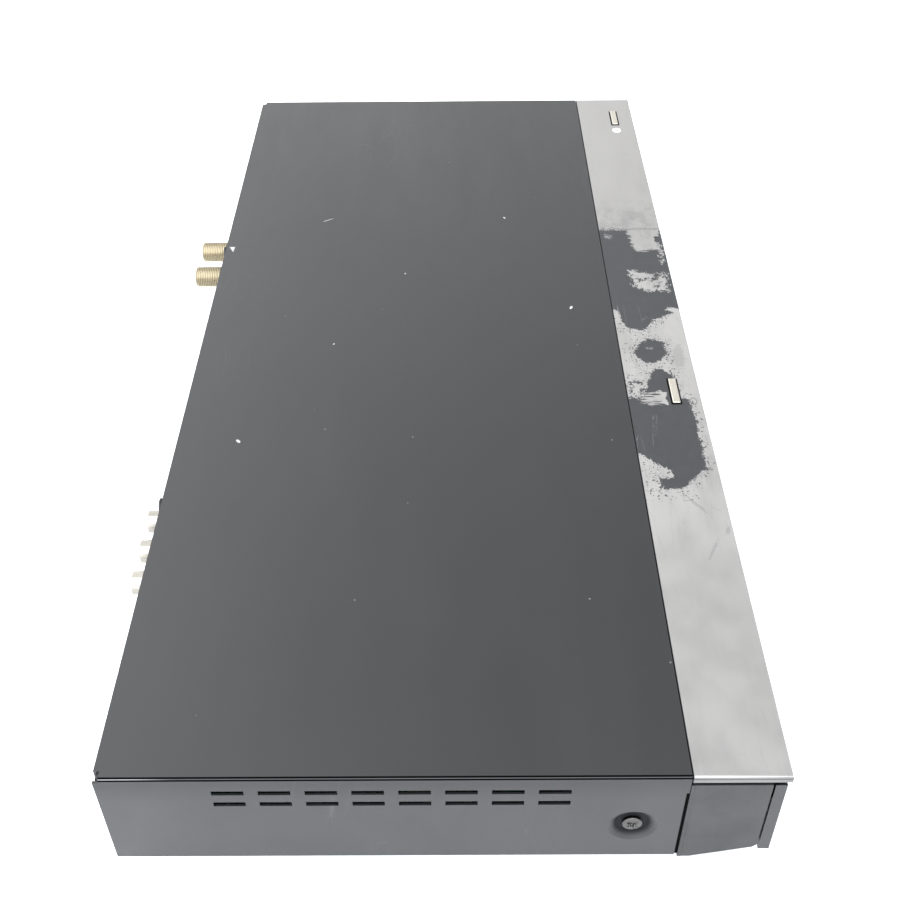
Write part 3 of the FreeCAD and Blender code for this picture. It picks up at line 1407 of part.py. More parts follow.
def power_inlet():
    """The two-pin mains inlet, with its pins in the well."""
    x, z, length, height = socket_outlines()["Inlet"]
    case = block("InletCase", f"{x} - ({length}) / 2", "panel_front - 17", z, length, "18.6", height)
    well = block("InletWell", f"{x} - 9.8", "panel_front - 11", f"{z} + 4", "19.6", "20", "9")
    pins = [post(f"InletPin{sign}", "Y", f"{x} + {sign} * 4.3", "panel_front - 12", f"{z} + 8.5", "1.2", "9.5")
            for sign in (-1, 1)]
    return fuse("Inlet", cut("InletOpen", case, well), *pins)


def transformer():
    core = block("CoreStack", "power_board_x + 15", "power_board_y + 42", "board_top", "34", "28", "24")
    coil = block("CoilWrap", "power_board_x + 21", "power_board_y + 37", "board_top + 3", "22", "38", "17")
    return fuse("Transformer", core, coil)


def capacitors():
    made = []
    for index, (x, y, radius, height) in enumerate((
        ("15", "90", "9", "26"), ("43", "92", "6", "20"), ("61", "92", "5", "16"),
        ("61", "72", "5", "16"), ("61", "52", "5", "16"), ("15", "16", "7", "22"),
    )):
        made.append(post(f"Capacitor{index}", "Z", f"power_board_x + {x}", f"power_board_y + {y}", "board_top",
                         radius, height, 16))
    return group("Capacitors", made)


def power_sinks():
    made = []
    for index, offset in enumerate(("10", "110")):
        x = "power_board_x + 31"
        y = f"power_board_y + {offset}"
        base = block(f"PowerSinkBase{index}", x, y, "board_top", "34", "2.4", "25")
        fins = [block(f"PowerSinkFin{index}{k}", f"{x} + {k} * 8", f"{y} + 2.4", "board_top", "1.6", "6", "25")
                for k in range(5)]
        made.append(fuse(f"PowerSink{index}", base, *fins))
    return made


def fan_frame():
    """The square fan housing: a ring, four spokes and a hub for the rotor's shaft."""
    y = "panel_front - fan_depth"
    case = block("FanCase", "fan_x - fan_size / 2", y, "fan_low", "fan_size", "fan_depth", "fan_size")
    duct = post("FanDuct", "Y", "fan_x", f"{y} - 1", "fan_middle", "fan_size / 2 - 1.5", "fan_depth + 2", 32)
    hub = post("FanHub", "Y", "fan_x", "panel_front - spoke_depth", "fan_middle", "fan_hub_radius",
               "spoke_depth", 16)
    spokes = [block("SpokeFlat", "fan_x - fan_size / 2 + 1", "panel_front - spoke_depth",
                    "fan_middle - spoke_width / 2", "fan_size - 2", "1.6", "spoke_width"),
              block("SpokeTall", "fan_x - spoke_width / 2", "panel_front - spoke_depth",
                    "fan_middle - fan_size / 2 + 1", "spoke_width", "1.6", "fan_size - 2")]
    bore = rod("FanBore", "Y", "fan_x", "panel_front - spoke_depth - 0.6", "fan_middle",
               "shaft_radius + running_gap", "spoke_depth + 0.2")
    return cut("FanFrame", fuse("FanSolid", cut("FanRing", case, duct), hub, *spokes), bore)


def fan_rotor():
    """Seven pitched blades on a hub, with a shaft in the frame's bearing."""
    body = new_body("Rotor")
    hub = sketch(body, "RotorHub", "XY_Plane")
    round_outline(hub, "0", "0", "fan_hub_radius", 16)
    pad(body, hub, "fan_depth - spoke_depth - 1")
    shaft = sketch(body, "RotorShaft", "XY_Plane")
    circle(shaft, "0", "0", "shaft_radius")
    pad(body, shaft, "spoke_depth - 0.2", True)
    blade = sketch(body, "RotorBlade", "YZ_Plane", "fan_hub_radius - 1")
    polygon(blade, [("-3.4", "0.9"), ("-2.6", "0.3"), ("3.4", "7.1"), ("2.6", "7.7")])
    wing = pad(body, blade, "fan_size / 2 - 1.5 - 0.8 - fan_hub_radius + 1")
    ring_of(body, [wing], "7")
    body.Placement.Rotation = FreeCAD.Rotation(Vector(1, 0, 0), 90)
    place(body, "fan_x", "panel_front - spoke_depth - fit_gap", "fan_middle")
    return body


def side_screws():
    made = []
    for sign in (-1, 1):
        seat = "-side + dish_depth - cover_wall" if sign < 0 else "side - dish_depth + cover_wall"
        made.append(tapping_screw(f"SideScrew{sign}", sign, seat, "seam + screw_setback",
                                  "height - screw_drop", "screw_length"))
    return group("SideScrews", made)


def rear_screws():
    """Two pan heads on the cover's rear flange, beside the sockets."""
    made = []
    for index, x in enumerate(("jack_x - 1.2", "antenna_x + 5.9")):
        made.append(post(f"RearScrew{index}", "Y", x, "rear", "height - 5", "rear_screw_radius", "rear_screw_proud", 16))
    return group("RearScrews", made)


def build_all():
    cover = top_cover()
    dishes = [screw_dish("DishLeft", -1), screw_dish("DishRight", 1)]
    node("top_cover", fuse("CoverWhole", cover, *dishes))
    node("bottom_chassis", bottom_chassis())
    node("rubber_feet", rubber_feet())
    node("rear_panel", rear_panel())
    node("front_cap", front_cap())
    node("front_body", front_body())
    node("front_plate", front_plate())
    node("front_flap", front_flap())
    node("flap_pins", flap_pins())
    node("display_window", display_window())
    node("display_tube", display_tube())
    node("front_board", front_board())
    node("card_slots", card_slots())
    node("front_serial_port", serial_port("FrontPort", "flap_right - 15", "body_front + 0.2", "port_z",
                                          "board_plane - body_front - 0.2", -1))
    node("open_close_button", button("OpenButton", "open_button_x"))
    node("power_button", button("PowerButton", "power_button_x"))
    plungers = switch_plungers()
    node("open_close_plunger", plungers[0])
    node("power_plunger", plungers[1])
    node("key_switches", key_switches())
    node("key_board", key_board())
    node("power_light", power_light())
    node("drive_frame", drive_frame())
    node("drive_bridge", drive_bridge())
    node("clamp_puck", clamp_puck())
    node("disc_tray", disc_tray())
    node("tray_bezel", tray_bezel())
    node("drive_gear", drive_gear())
    node("pulley_gear", pulley_gear())
    node("motor_pulley", motor_pulley())
    node("loading_belt", loading_belt())
    node("loading_motor", loading_motor())
    node("cam_slider", cam_slider())
    node("traverse_plate", traverse_plate())
    node("damper_bushes", damper_bushes())
    node("spindle_motor", spindle_motor())
    node("turntable", turntable())
    node("guide_rod", guide_rod())
    node("pickup", pickup())
    node("pickup_lens", pickup_lens())
    node("lead_screw", lead_screw())
    node("sled_motor", sled_motor())
    node("hard_disk", hard_disk())
    node("hard_disk_brackets", hard_disk_bracket())
    node("main_board", main_board())
    node("power_board", power_board())
    node("transformer", transformer())
    node("capacitors", capacitors())
    node("heat_sinks", group("HeatSinks", [main_chip_sink()] + power_sinks()))
    node("tuner_can", tuner_can())
    node("antenna_connectors", antenna_connectors())
    node("av_jack_block", av_jacks())
    node("av_jack_shells", av_shells())
    node("network_socket", network_socket())
    node("digital_socket", digital_socket())
    node("rear_serial_port", serial_port("RearPort", "rear_port_x", "panel_front - 13", "board_top", "14.4", 1))
    node("power_inlet", power_inlet())
    node("fan_frame", fan_frame())
    node("fan_rotor", fan_rotor())
    node("side_screws", side_screws())
    node("rear_screws", rear_screws())


def check_document():
    """Stops on any failed object, empty shape or invalid shape."""
    doc.recompute()
    for obj in doc.Objects:
        if "Invalid" in obj.State or "Error" in obj.State:
            raise RuntimeError(f"{obj.Label} failed: {obj.State}")
    for name, obj in nodes.items():
        if obj.Shape.isNull() or not obj.Shape.isValid() or not obj.Shape.Solids:
            raise RuntimeError(f"{name} has no valid solid")


build_all()
check_document()
os.makedirs("parts", exist_ok=True)
for name, obj in nodes.items():
    obj.Shape.exportStep(f"parts/{name}.step")
print(len(nodes), "pieces written")
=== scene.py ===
"""Looks of a slim disc recorder with a worn silver strip along its top front edge."""

import json
import math

import bpy
from mathutils import Matrix, Vector


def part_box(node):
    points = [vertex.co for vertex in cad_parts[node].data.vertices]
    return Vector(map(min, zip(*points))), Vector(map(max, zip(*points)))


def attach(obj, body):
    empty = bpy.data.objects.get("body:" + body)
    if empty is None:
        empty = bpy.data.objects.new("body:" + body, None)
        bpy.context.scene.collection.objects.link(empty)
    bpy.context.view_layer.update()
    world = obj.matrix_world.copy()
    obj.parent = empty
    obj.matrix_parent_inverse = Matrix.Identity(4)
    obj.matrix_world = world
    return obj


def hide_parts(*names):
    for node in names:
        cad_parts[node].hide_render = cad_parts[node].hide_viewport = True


MM = 0.001

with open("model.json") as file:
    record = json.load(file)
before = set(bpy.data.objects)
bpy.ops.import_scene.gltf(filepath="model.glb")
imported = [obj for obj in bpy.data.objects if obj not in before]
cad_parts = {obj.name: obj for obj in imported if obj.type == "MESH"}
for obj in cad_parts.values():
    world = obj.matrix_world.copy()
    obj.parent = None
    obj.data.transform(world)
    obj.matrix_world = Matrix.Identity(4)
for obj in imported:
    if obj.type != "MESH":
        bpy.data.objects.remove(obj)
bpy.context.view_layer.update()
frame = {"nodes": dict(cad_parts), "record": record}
nodes = frame["nodes"]


# Places taken from the CAD, in millimetres


def corners(node):
    """A node's lowest and highest corner."""
    low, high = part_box(node)
    return low / MM, high / MM


HALF_WIDTH, REAR_EDGE, TOP = corners("top_cover")[1]
SEAM = corners("front_cap")[1].y
KEY_TOP = corners("power_button")[1].z
SIDE_SCREW = sum(corners("side_screws"), Vector()) / 2
JACKS_LOW, JACKS_HIGH = corners("av_jack_shells")
JACK_RADIUS = (JACKS_HIGH.z - JACKS_LOW.z) / 2
JACK_PITCH = (JACKS_HIGH.x - JACKS_LOW.x) / 2 - JACK_RADIUS
RED_JACK = JACKS_LOW.x + JACK_RADIUS


# Shader graphs


def rgb(red, green, blue):
    return (red, green, blue, 1.0)


def grey(level):
    return rgb(level, level, level)


def scaled_colour(colour, factor):
    return rgb(*(min(part * factor, 1.0) for part in colour[:3]))


class Graph:
    """Short calls that add nodes and links to one node tree."""

    def __init__(self, tree):
        self.tree = tree

    def add(self, kind, inputs=None, **settings):
        node = self.tree.nodes.new(kind)
        for name, setting in settings.items():
            setattr(node, name, setting)
        for name, value in (inputs or {}).items():
            self.feed(node.inputs[name], value)
        return node

    def feed(self, socket, value):
        if isinstance(value, bpy.types.NodeSocket):
            self.tree.links.new(value, socket)
        elif value is not None:
            socket.default_value = value

    def math(self, operation, first, second=None, third=None):
        return self.add("ShaderNodeMath", {0: first, 1: second, 2: third}, operation=operation).outputs[0]

    def chain(self, operation, first, *others):
        """One operation over two or more values, from left to right."""
        for other in others:
            first = self.math(operation, first, other)
        return first

    def total(self, *values):
        return self.chain("ADD", *values)

    def times(self, *values):
        return self.chain("MULTIPLY", *values)

    def most(self, *values):
        return self.chain("MAXIMUM", *values)

    def least(self, *values):
        return self.chain("MINIMUM", *values)

    def minus(self, first, second):
        return self.math("SUBTRACT", first, second)

    def fused(self, value, factor, offset):
        """value times factor plus offset."""
        return self.math("MULTIPLY_ADD", value, factor, offset)

    def away(self, value, middle):
        """How far value is from middle, either way."""
        return self.math("ABSOLUTE", self.minus(value, middle))

    def swing(self, texture, reach):
        """A texture from 0 to 1 as a swing either way."""
        return self.fused(texture, 2.0 * reach, -reach)

    def spread(self, value, low, high, to_low=0.0, to_high=1.0):
        """A soft step of value from low to high."""
        inputs = {"Value": value, "From Min": low, "From Max": high, "To Min": to_low, "To Max": to_high}
        return self.add("ShaderNodeMapRange", inputs, interpolation_type="SMOOTHSTEP").outputs[0]

    def ramp(self, value, low, high):
        """A straight rise from 0 to 1 as value goes from low to high."""
        inputs = {"Value": value, "From Min": low, "From Max": high}
        return self.add("ShaderNodeMapRange", inputs).outputs[0]

    def mix(self, factor, first, second):
        return self.add("ShaderNodeMix", {0: factor, 6: first, 7: second}, data_type="RGBA").outputs[2]

    def blend(self, factor, first, second):
        """The same for plain numbers."""
        return self.add("ShaderNodeMix", {0: factor, 2: first, 3: second}, data_type="FLOAT").outputs[0]

    def ellipse(self, x, y, middle_x, middle_y, half_x, half_y, degrees=0.0):
        """Below 1 inside an ellipse in the plane of x and y."""
        turn = math.radians(degrees)
        cosine, sine = math.cos(turn), math.sin(turn)
        across = self.minus(x, middle_x)
        along = self.minus(y, middle_y)
        first = self.total(self.times(across, cosine / half_x), self.times(along, sine / half_x))
        second = self.minus(self.times(along, cosine / half_y), self.times(across, sine / half_y))
        return self.math("SQRT", self.total(self.times(first, first), self.times(second, second)))

    def patch(self, x, y, outline):
        """How far a place lies inside a convex outline of corners, in millimetres."""
        middle = [sum(corner[way] for corner in outline) / len(outline) for way in (0, 1)]
        depths = []
        for here, there in zip(outline, outline[1:] + outline[:1]):
            length = math.hypot(there[0] - here[0], there[1] - here[1])
            across, along = (here[1] - there[1]) / length, (there[0] - here[0]) / length
            if (middle[0] - here[0]) * across + (middle[1] - here[1]) * along < 0:
                across, along = -across, -along
            level = self.fused(x, across, -here[0] * across - here[1] * along)
            depths.append(self.fused(y, along, level))
        return self.least(*depths)

    def patches(self, x, y, outlines):
        return self.most(*(self.patch(x, y, outline) for outline in outlines))


class Finish(Graph):
    """A material's graph: its shader, and textures laid out in the object's own space."""

    def __init__(self, name):
        self.material = bpy.data.materials.new(name)
        self.material.use_nodes = True
        super().__init__(self.material.node_tree)
        self.tree.nodes.clear()
        self.shader = self.add("ShaderNodeBsdfPrincipled")
        out = self.add("ShaderNodeOutputMaterial")
        self.feed(out.inputs["Surface"], self.shader.outputs[0])
        self.where = self.add("ShaderNodeTexCoord").outputs["Object"]

    def scaled(self, x, y, z):
        """The place in metres, times a factor each way."""
        inputs = {0: self.where, 1: (x, y, z)}
        return self.add("ShaderNodeVectorMath", inputs, operation="MULTIPLY").outputs[0]

    def axes(self):
        """The place in millimetres, as three numbers."""
        parts = self.add("ShaderNodeSeparateXYZ", {0: self.scaled(1 / MM, 1 / MM, 1 / MM)})
        return parts.outputs[0], parts.outputs[1], parts.outputs[2]

    def noise(self, scale, detail=4.0, rough=0.55, where=None, distortion=0.0):
        inputs = {"Vector": where or self.where, "Scale": scale, "Detail": detail,
                  "Roughness": rough, "Distortion": distortion}
        return self.add("ShaderNodeTexNoise", inputs).outputs["Fac"]

    def cells(self, scale, where=None, feature="F1"):
        inputs = {"Vector": where or self.where, "Scale": scale}
        return self.add("ShaderNodeTexVoronoi", inputs, feature=feature)

    def channel(self, colour, index):
        """Red, green or blue of a colour, as 0, 1 or 2."""
        return self.add("ShaderNodeSeparateColor", {0: colour}).outputs[index]

    def from_end(self, x):
        """Millimetres inwards from the nearer end of the case."""
        return self.minus(HALF_WIDTH, self.math("ABSOLUTE", x))

    def bump(self, height, strength, distance):
        inputs = {"Strength": strength, "Distance": distance, "Height": height}
        return self.add("ShaderNodeBump", inputs).outputs[0]

    def spots(self, x, y, marks, ragged):
        """1 inside small ragged ellipses, each given by centre, half sizes and turn."""
        edge = self.swing(self.noise(1600.0, 3.0), ragged / 2)
        reaches = [self.total(self.ellipse(x, y, *mark), edge) for mark in marks]
        return self.most(*(self.spread(reach, 1.05, 0.9) for reach in reaches))

    def shade(self, **inputs):
        for name, value in inputs.items():
            self.feed(self.shader.inputs[name.replace("_", " ")], value)
        return self.material


# Plain finishes


def moulded(name, colour, rough, grain=0.00006, tone=0.15, scale=2200.0):
    """Plastic with a fine spark-eroded grain and slow changes of tone and gloss."""
    g = Finish(name)
    tint = g.mix(g.noise(35.0, 3.0), scaled_colour(colour, 1 - tone), scaled_colour(colour, 1 + tone))
    gloss = g.spread(g.noise(90.0, 5.0), 0.3, 0.7, rough * 0.88, min(rough * 1.12, 1.0))
    return g.shade(Base_Color=tint, Roughness=gloss, Normal=g.bump(g.noise(scale, 3.0, 0.6), 0.5, grain))


def rolled(name, colour, rough, stretch=(1.0, 30.0, 30.0), metallic=1.0, tone=0.12, depth=0.00003):
    """Bare metal with drawing lines along one way and slow stains."""
    g = Finish(name)
    lines = g.noise(60.0, 5.0, 0.65, g.scaled(*stretch))
    tint = g.mix(g.spread(g.noise(45.0, 4.0), 0.35, 0.7), scaled_colour(colour, 1 - tone), colour)
    gloss = g.spread(lines, 0.3, 0.7, rough * 0.8, min(rough * 1.25, 1.0))
    return g.shade(Base_Color=tint, Metallic=metallic, Roughness=gloss, Normal=g.bump(lines, 0.4, depth))


# The painted cover. Chips: centre, half sizes and turn, in millimetres and degrees. EDGE_CHIP is
# the outline of a three-cornered one at the rear edge. DISH_RADIUS is that of a side screw's seat.

TOP_CHIPS = (
    (91.0, -35.5, 0.9, 0.4, 30.0),
    (17.0, -61.5, 1.2, 0.6, -20.0),
    (-68.5, 69.5, 1.2, 0.6, 40.0),
    (90.0, 47.5, 3.0, 0.16, -60.0),
    (44.0, 10.0, 0.5, 0.3, 15.0),
    (-8.0, 38.0, 0.5, 0.3, -35.0),
)
EDGE_CHIP = ((67.0, 91.2), (67.0, 88.4), (62.2, 88.8))
DISH_RADIUS = 7.0


def top_marks(g, tint, x, y, drop):
    """Hairlines, dust and chips on the cover; drop is the depth below its top."""
    hair = g.cells(38.0, g.scaled(1.0, 6.0, 1.0), "DISTANCE_TO_EDGE").outputs["Distance"]
    hairline = g.times(g.spread(hair, 0.010, 0.002), g.spread(g.noise(11.0, 2.0), 0.62, 0.70))
    tint = g.mix(g.times(hairline, 0.18), tint, grey(0.12))
    dust = g.cells(420.0)
    rare = g.spread(g.channel(dust.outputs["Color"], 0), 0.990, 0.994)
    speck = g.times(g.spread(dust.outputs["Distance"], 0.16, 0.09), rare)
    tint = g.mix(g.times(speck, 0.35), tint, rgb(0.34, 0.33, 0.31))
    chip = g.most(g.spots(x, y, TOP_CHIPS, 0.7), g.spread(g.patch(x, y, EDGE_CHIP), -0.1, 0.3))
    chip = g.times(chip, g.spread(drop, 1.0, 0.4))
    return g.mix(g.times(chip, 0.55), tint, rgb(0.55, 0.54, 0.52))


def fold_wear_and_painted_light(g, tint, x, y, fold, drop, groove_shade):
    """A painted highlight along the fold's crest, strong near the rear edge and faint and patchy elsewhere,
    a painted shade line beside it, and paint lost along the rear edge and its corner.
    """
    from_rear = g.minus(REAR_EDGE, y)
    patchy = g.spread(g.noise(60.0, 4.0), 0.35, 0.75, 0.0, 0.25)
    # Painted highlight: a lighter line along the rounded fold, strongest near the rear edge.
    crest_highlight = g.times(g.spread(fold, 0.40, 0.25), g.most(g.spread(from_rear, 26.5, 8.5), patchy))
    tint = g.mix(g.times(crest_highlight, g.spread(from_rear, 32.5, 12.5, 0.12, 1.0)), tint, rgb(0.20, 0.20, 0.205))
    # Painted shade: the dark line beside the fold.
    tint = g.mix(groove_shade, tint, grey(0.002))
    rear_rim = g.spread(g.most(from_rear, drop), 0.6, 0.3)
    rubbed = g.times(rear_rim, g.spread(g.noise(120.0, 6.0, 0.7), 0.60, 0.68))
    tint = g.mix(g.times(rubbed, 0.5), tint, grey(0.25))
    corner = g.spread(g.most(fold, g.minus(from_rear, 0.7)), 0.7, 0.4)
    return g.mix(g.times(corner, g.spread(x, 0.0, -1.0)), tint, grey(0.6))


def cover_paint():
    g = Finish("cover_paint")
    x, y, z = g.axes()
    side = g.from_end(x)
    drop = g.minus(TOP, z)
    fold = g.most(side, drop)
    # Painted shade: a dark line a little in from the fold, which is also made rougher and less specular.
    groove_shade = g.times(g.spread(fold, 0.25, 0.45), g.spread(fold, 1.05, 0.80))
    smear = g.noise(14.0, 6.0, 0.7, g.scaled(0.35, 1.6, 1.0), 0.6)
    tint = g.mix(g.noise(9.0, 5.0, 0.6), rgb(0.0085, 0.0088, 0.0095), rgb(0.0135, 0.0138, 0.0145))
    tint = g.mix(g.spread(smear, 0.58, 0.78, 0.0, 0.22), tint, rgb(0.030, 0.030, 0.031))
    tint = top_marks(g, tint, x, y, drop)
    tint = fold_wear_and_painted_light(g, tint, x, y, fold, drop, groove_shade)
    gloss = g.total(g.spread(smear, 0.35, 0.75, 0.40, 0.48), g.times(groove_shade, 0.3))
    # Painted shade: the side screw's dished seat and the groove beside the fold get a lower specular level.
    bowl = g.ellipse(y, z, SIDE_SCREW.y, SIDE_SCREW.z, DISH_RADIUS, DISH_RADIUS)
    dish_shade = g.times(g.spread(bowl, 1.0, 0.72), g.spread(side, 0.05, 0.6))
    specular_with_painted_shade = g.fused(g.most(groove_shade, g.times(dish_shade, 0.95)), -0.5, 0.5)
    shaded_wall = g.times(g.spread(side, 0.5, 0.1), g.spread(drop, 13.0, 1.5, 0.0, 0.13))
    return g.shade(Base_Color=tint, Roughness=gloss, Specular_IOR_Level=g.minus(specular_with_painted_shade, shaded_wall),
                   Normal=g.bump(g.noise(1900.0, 2.0, 0.6), 0.35, 0.00004))


# The silver strip's wear as convex outlines: place along the strip, then distance from the seam
# towards the front, in millimetres. BARE is worn through. Inside it KEPT, MOTTLED and STREAKED
# still hold some silver and FAINT is smeared. A spot, a smudge or the ring is given by its centre
# and half sizes, a smudge also by its turn in degrees.

BARE = (
    ((79.5, -3.0), (79.5, 32.0), (14.0, 32.0), (14.0, -3.0)),
    ((17.0, 1.7), (1.9, 4.4), (0.0, 10.1), (1.5, 12.2), (6.6, 16.2), (17.0, 21.0)),
    ((17.0, 16.0), (6.6, 15.8), (11.3, 22.8), (14.4, 27.6), (17.0, 27.6)),
    ((-5.5, 12.0), (-8.0, 18.0), (-15.6, 18.8), (-21.0, 15.6), (-22.0, 9.0), (-15.5, 5.6), (-11.0, 7.0)),
    ((-26.6, 11.3), (-25.5, 15.2), (-30.4, 19.6), (-46.0, 20.5), (-46.0, 5.0), (-40.4, 5.6), (-33.0, 9.4)),
    ((-33.8, 1.2), (-34.0, 7.0), (-44.0, 7.0), (-44.0, 1.2)),
    ((-43.0, -3.0), (-44.5, 23.0), (-55.0, 24.2), (-84.6, 24.4), (-87.0, 12.0), (-74.0, -3.0)),
    ((-84.0, 11.2), (-84.0, 24.6), (-96.0, 13.6), (-95.5, 11.2)),
    ((-90.3, 6.3), (-95.7, 6.3), (-95.7, 13.0), (-90.3, 13.0)),
)
KEPT = (
    ((15.5, 0.4), (15.0, 2.0), (9.5, 2.0), (9.5, 0.4)),
    ((16.4, 23.6), (14.4, 22.6), (12.6, 28.2), (15.4, 28.2)),
)
MOTTLED = (
    ((45.6, 10.2), (39.0, 10.6), (36.5, 21.6), (43.4, 22.4)),
    ((39.4, 10.8), (32.8, 10.8), (28.7, 14.2), (28.7, 21.0), (36.6, 21.6)),
    ((36.6, 20.4), (43.2, 24.4), (43.0, 26.4), (28.6, 25.9), (28.7, 20.4)),
    ((-33.5, 1.0), (-45.0, 0.6), (-45.0, 6.6), (-34.0, 6.8)),
    ((66.0, 25.2), (50.0, 25.6), (50.0, 26.6), (66.0, 27.2)),
)
STREAKED = (
    ((-40.6, 12.4), (-40.9, 15.2), (-48.6, 15.3), (-48.6, 10.3), (-47.1, 5.2), (-43.2, 5.6)),
    ((80.2, 13.0), (66.0, 14.0), (60.6, 15.4), (62.6, 25.4), (78.5, 27.9), (80.2, 27.9)),
)
FAINT = (
    ((-54.7, 8.2), (-54.7, 8.8), (-74.0, 6.2), (-74.0, 5.8)),
    ((-54.7, 9.6), (-54.7, 10.0), (-67.0, 8.2), (-67.0, 7.8)),
    ((76.6, 2.0), (72.0, 1.6), (71.8, 5.4), (76.2, 6.2)),
    ((-11.0, 10.6), (-11.4, 13.8), (-13.4, 13.8), (-13.0, 10.6)),
)
BARE_IN_STREAKS = (71.0, 25.6, 2.2, 1.3)
SMUDGES = (
    (86.5, 12.8, 4.5, 1.7, 0.0),
    (-18.0, 23.5, 8.5, 2.3, 4.0),
    (-117.0, 26.4, 2.0, 0.7, 20.0),
    (-103.0, 17.0, 7.0, 0.6, -35.0),
    (-126.0, 20.0, 5.0, 0.5, 25.0),
)
DRAWN_RING = (-46.5, 25.2, 2.0, 1.2)
DRAWN_LINE_X = 80.2
BRIGHTEST_X = -37.0


def kept_silver(g, x, v, bent_x, bent_v):
    """Above 0 where silver is left inside the worn outlines: whole, mottled or in rays across the strip."""
    kept = g.total(g.patches(bent_x, bent_v, KEPT), g.swing(g.noise(1500.0, 3.0, 0.7), 1.6))
    depth = g.patches(bent_x, bent_v, MOTTLED)
    patchy = g.total(g.swing(g.noise(520.0, 5.0, 0.72), 9.0), g.swing(g.noise(1700.0, 3.0, 0.7), 4.0))
    mottled = g.least(g.total(depth, g.minus(patchy, 0.7)), g.total(depth, 0.9))
    across = g.add("ShaderNodeCombineXYZ", {0: g.times(x, 1.25), 1: g.times(v, 0.13)}).outputs[0]
    rays = g.swing(g.noise(1.0, 4.0, 0.72, across), 12.0)
    reach = g.most(g.spread(v, 14.2, 12.6), g.times(g.spread(x, 50.0, 60.0), 0.42))
    depth = g.patches(bent_x, bent_v, STREAKED)
    streaked = g.least(g.total(depth, g.times(rays, reach)), g.total(depth, 0.8))
    spot = g.spread(g.ellipse(bent_x, bent_v, *BARE_IN_STREAKS), 0.8, 1.1, -6.0, 0.0)
    return g.most(kept, mottled, g.total(streaked, spot))


def strip_wear(g, x, v):
    """1 where the strip is worn through, 1 where it is smeared, and the depth inside the worn outlines."""
    cross_wave = g.noise(260.0, 5.0, 0.64, g.scaled(1.0, 1.0, 9.0))
    bent_x = g.total(x, g.swing(g.noise(240.0, 5.0, 0.64), 2.6))
    bent_v = g.total(v, g.swing(cross_wave, 2.3))
    depth = g.patches(bent_x, bent_v, BARE)
    stray = g.times(g.spread(g.noise(1150.0, 3.0, 0.6), 0.57, 0.66),
                    g.spread(x, 18.0, 4.0, 3.0, 6.5), g.spread(v, 23.5, 20.0, 0.4, 1.0))
    bare = g.total(depth, g.swing(g.noise(1300.0, 4.0, 0.72), 2.4), stray)
    left = kept_silver(g, x, v, bent_x, bent_v)
    worn = g.times(g.spread(bare, -0.15, 0.15), g.spread(left, 0.15, -0.15))
    smeared = g.patches(bent_x, g.total(v, g.swing(cross_wave, 1.0)), FAINT)
    faint = g.times(g.spread(smeared, -0.2, 0.9), g.spread(g.noise(520.0, 5.0, 0.72), 0.42, 0.62))
    return worn, faint, depth


def handled_silver_and_shade(g, x, v, drop, depth, flake, hairline):
    """Silver paint, greyed by wiping near the wear, with smudges and a drawn line and ring, and a painted
    shade line along the step below the end's top edge.
    """
    tint = g.mix(flake, rgb(0.334, 0.327, 0.317), rgb(0.412, 0.404, 0.391))
    cloud = g.spread(g.noise(16.0, 6.0, 0.7, g.scaled(1.0, 3.0, 1.0)), 0.50, 0.75)
    tint = g.mix(g.times(cloud, 0.30), tint, rgb(0.245, 0.242, 0.236))
    tint = g.mix(g.spread(g.away(x, BRIGHTEST_X), 60.0, 115.0, 1.0, 0.85), grey(0.0), tint)
    wiped = g.spread(g.noise(34.0, 6.0, 0.74, g.scaled(0.35, 2.4, 1.0), 0.4), 0.42, 0.72)
    tint = g.mix(g.times(wiped, g.spread(depth, -26.0, -4.0, 0.10, 0.26)), tint, rgb(0.19, 0.188, 0.183))
    tint = g.mix(g.times(hairline, 0.3), tint, grey(0.22))
    rubbed = g.times(g.spread(g.noise(90.0, 6.0, 0.75, g.scaled(1.0, 2.6, 1.0)), 0.47, 0.74),
                     g.spread(depth, -8.0, 0.0), 0.42)
    fade = g.times(g.spread(x, 78.0, 84.0), g.spread(x, 112.0, 90.0),
                   g.spread(g.noise(130.0, 6.0, 0.75), 0.40, 0.66), 0.45)
    smudges = g.times(g.spots(x, v, SMUDGES, 2.6), 0.30)
    tint = g.mix(g.most(rubbed, fade, smudges), tint, grey(0.14))
    ring = g.spread(g.away(g.ellipse(x, v, *DRAWN_RING), 1.0), 0.22, 0.10)
    line = g.times(g.spread(g.away(x, DRAWN_LINE_X), 0.45, 0.2), g.spread(g.noise(200.0, 3.0), 0.35, 0.5))
    tint = g.mix(g.times(g.most(ring, line), 0.55), tint, grey(0.08))
    side = g.from_end(x)
    end_face = g.times(g.spread(side, 0.32, 0.12), g.spread(drop, 0.15, 0.40))
    tint = g.mix(g.times(end_face, 0.55), tint, grey(0.06))
    # Painted shade: a dark line along the step 1.1 mm below the top, at the strip's ends.
    crease_shade = g.times(g.spread(side, 0.6, 0.3), g.spread(g.away(drop, 1.1), 0.32, 0.15))
    return g.mix(g.times(crease_shade, 0.7), tint, grey(0.03))


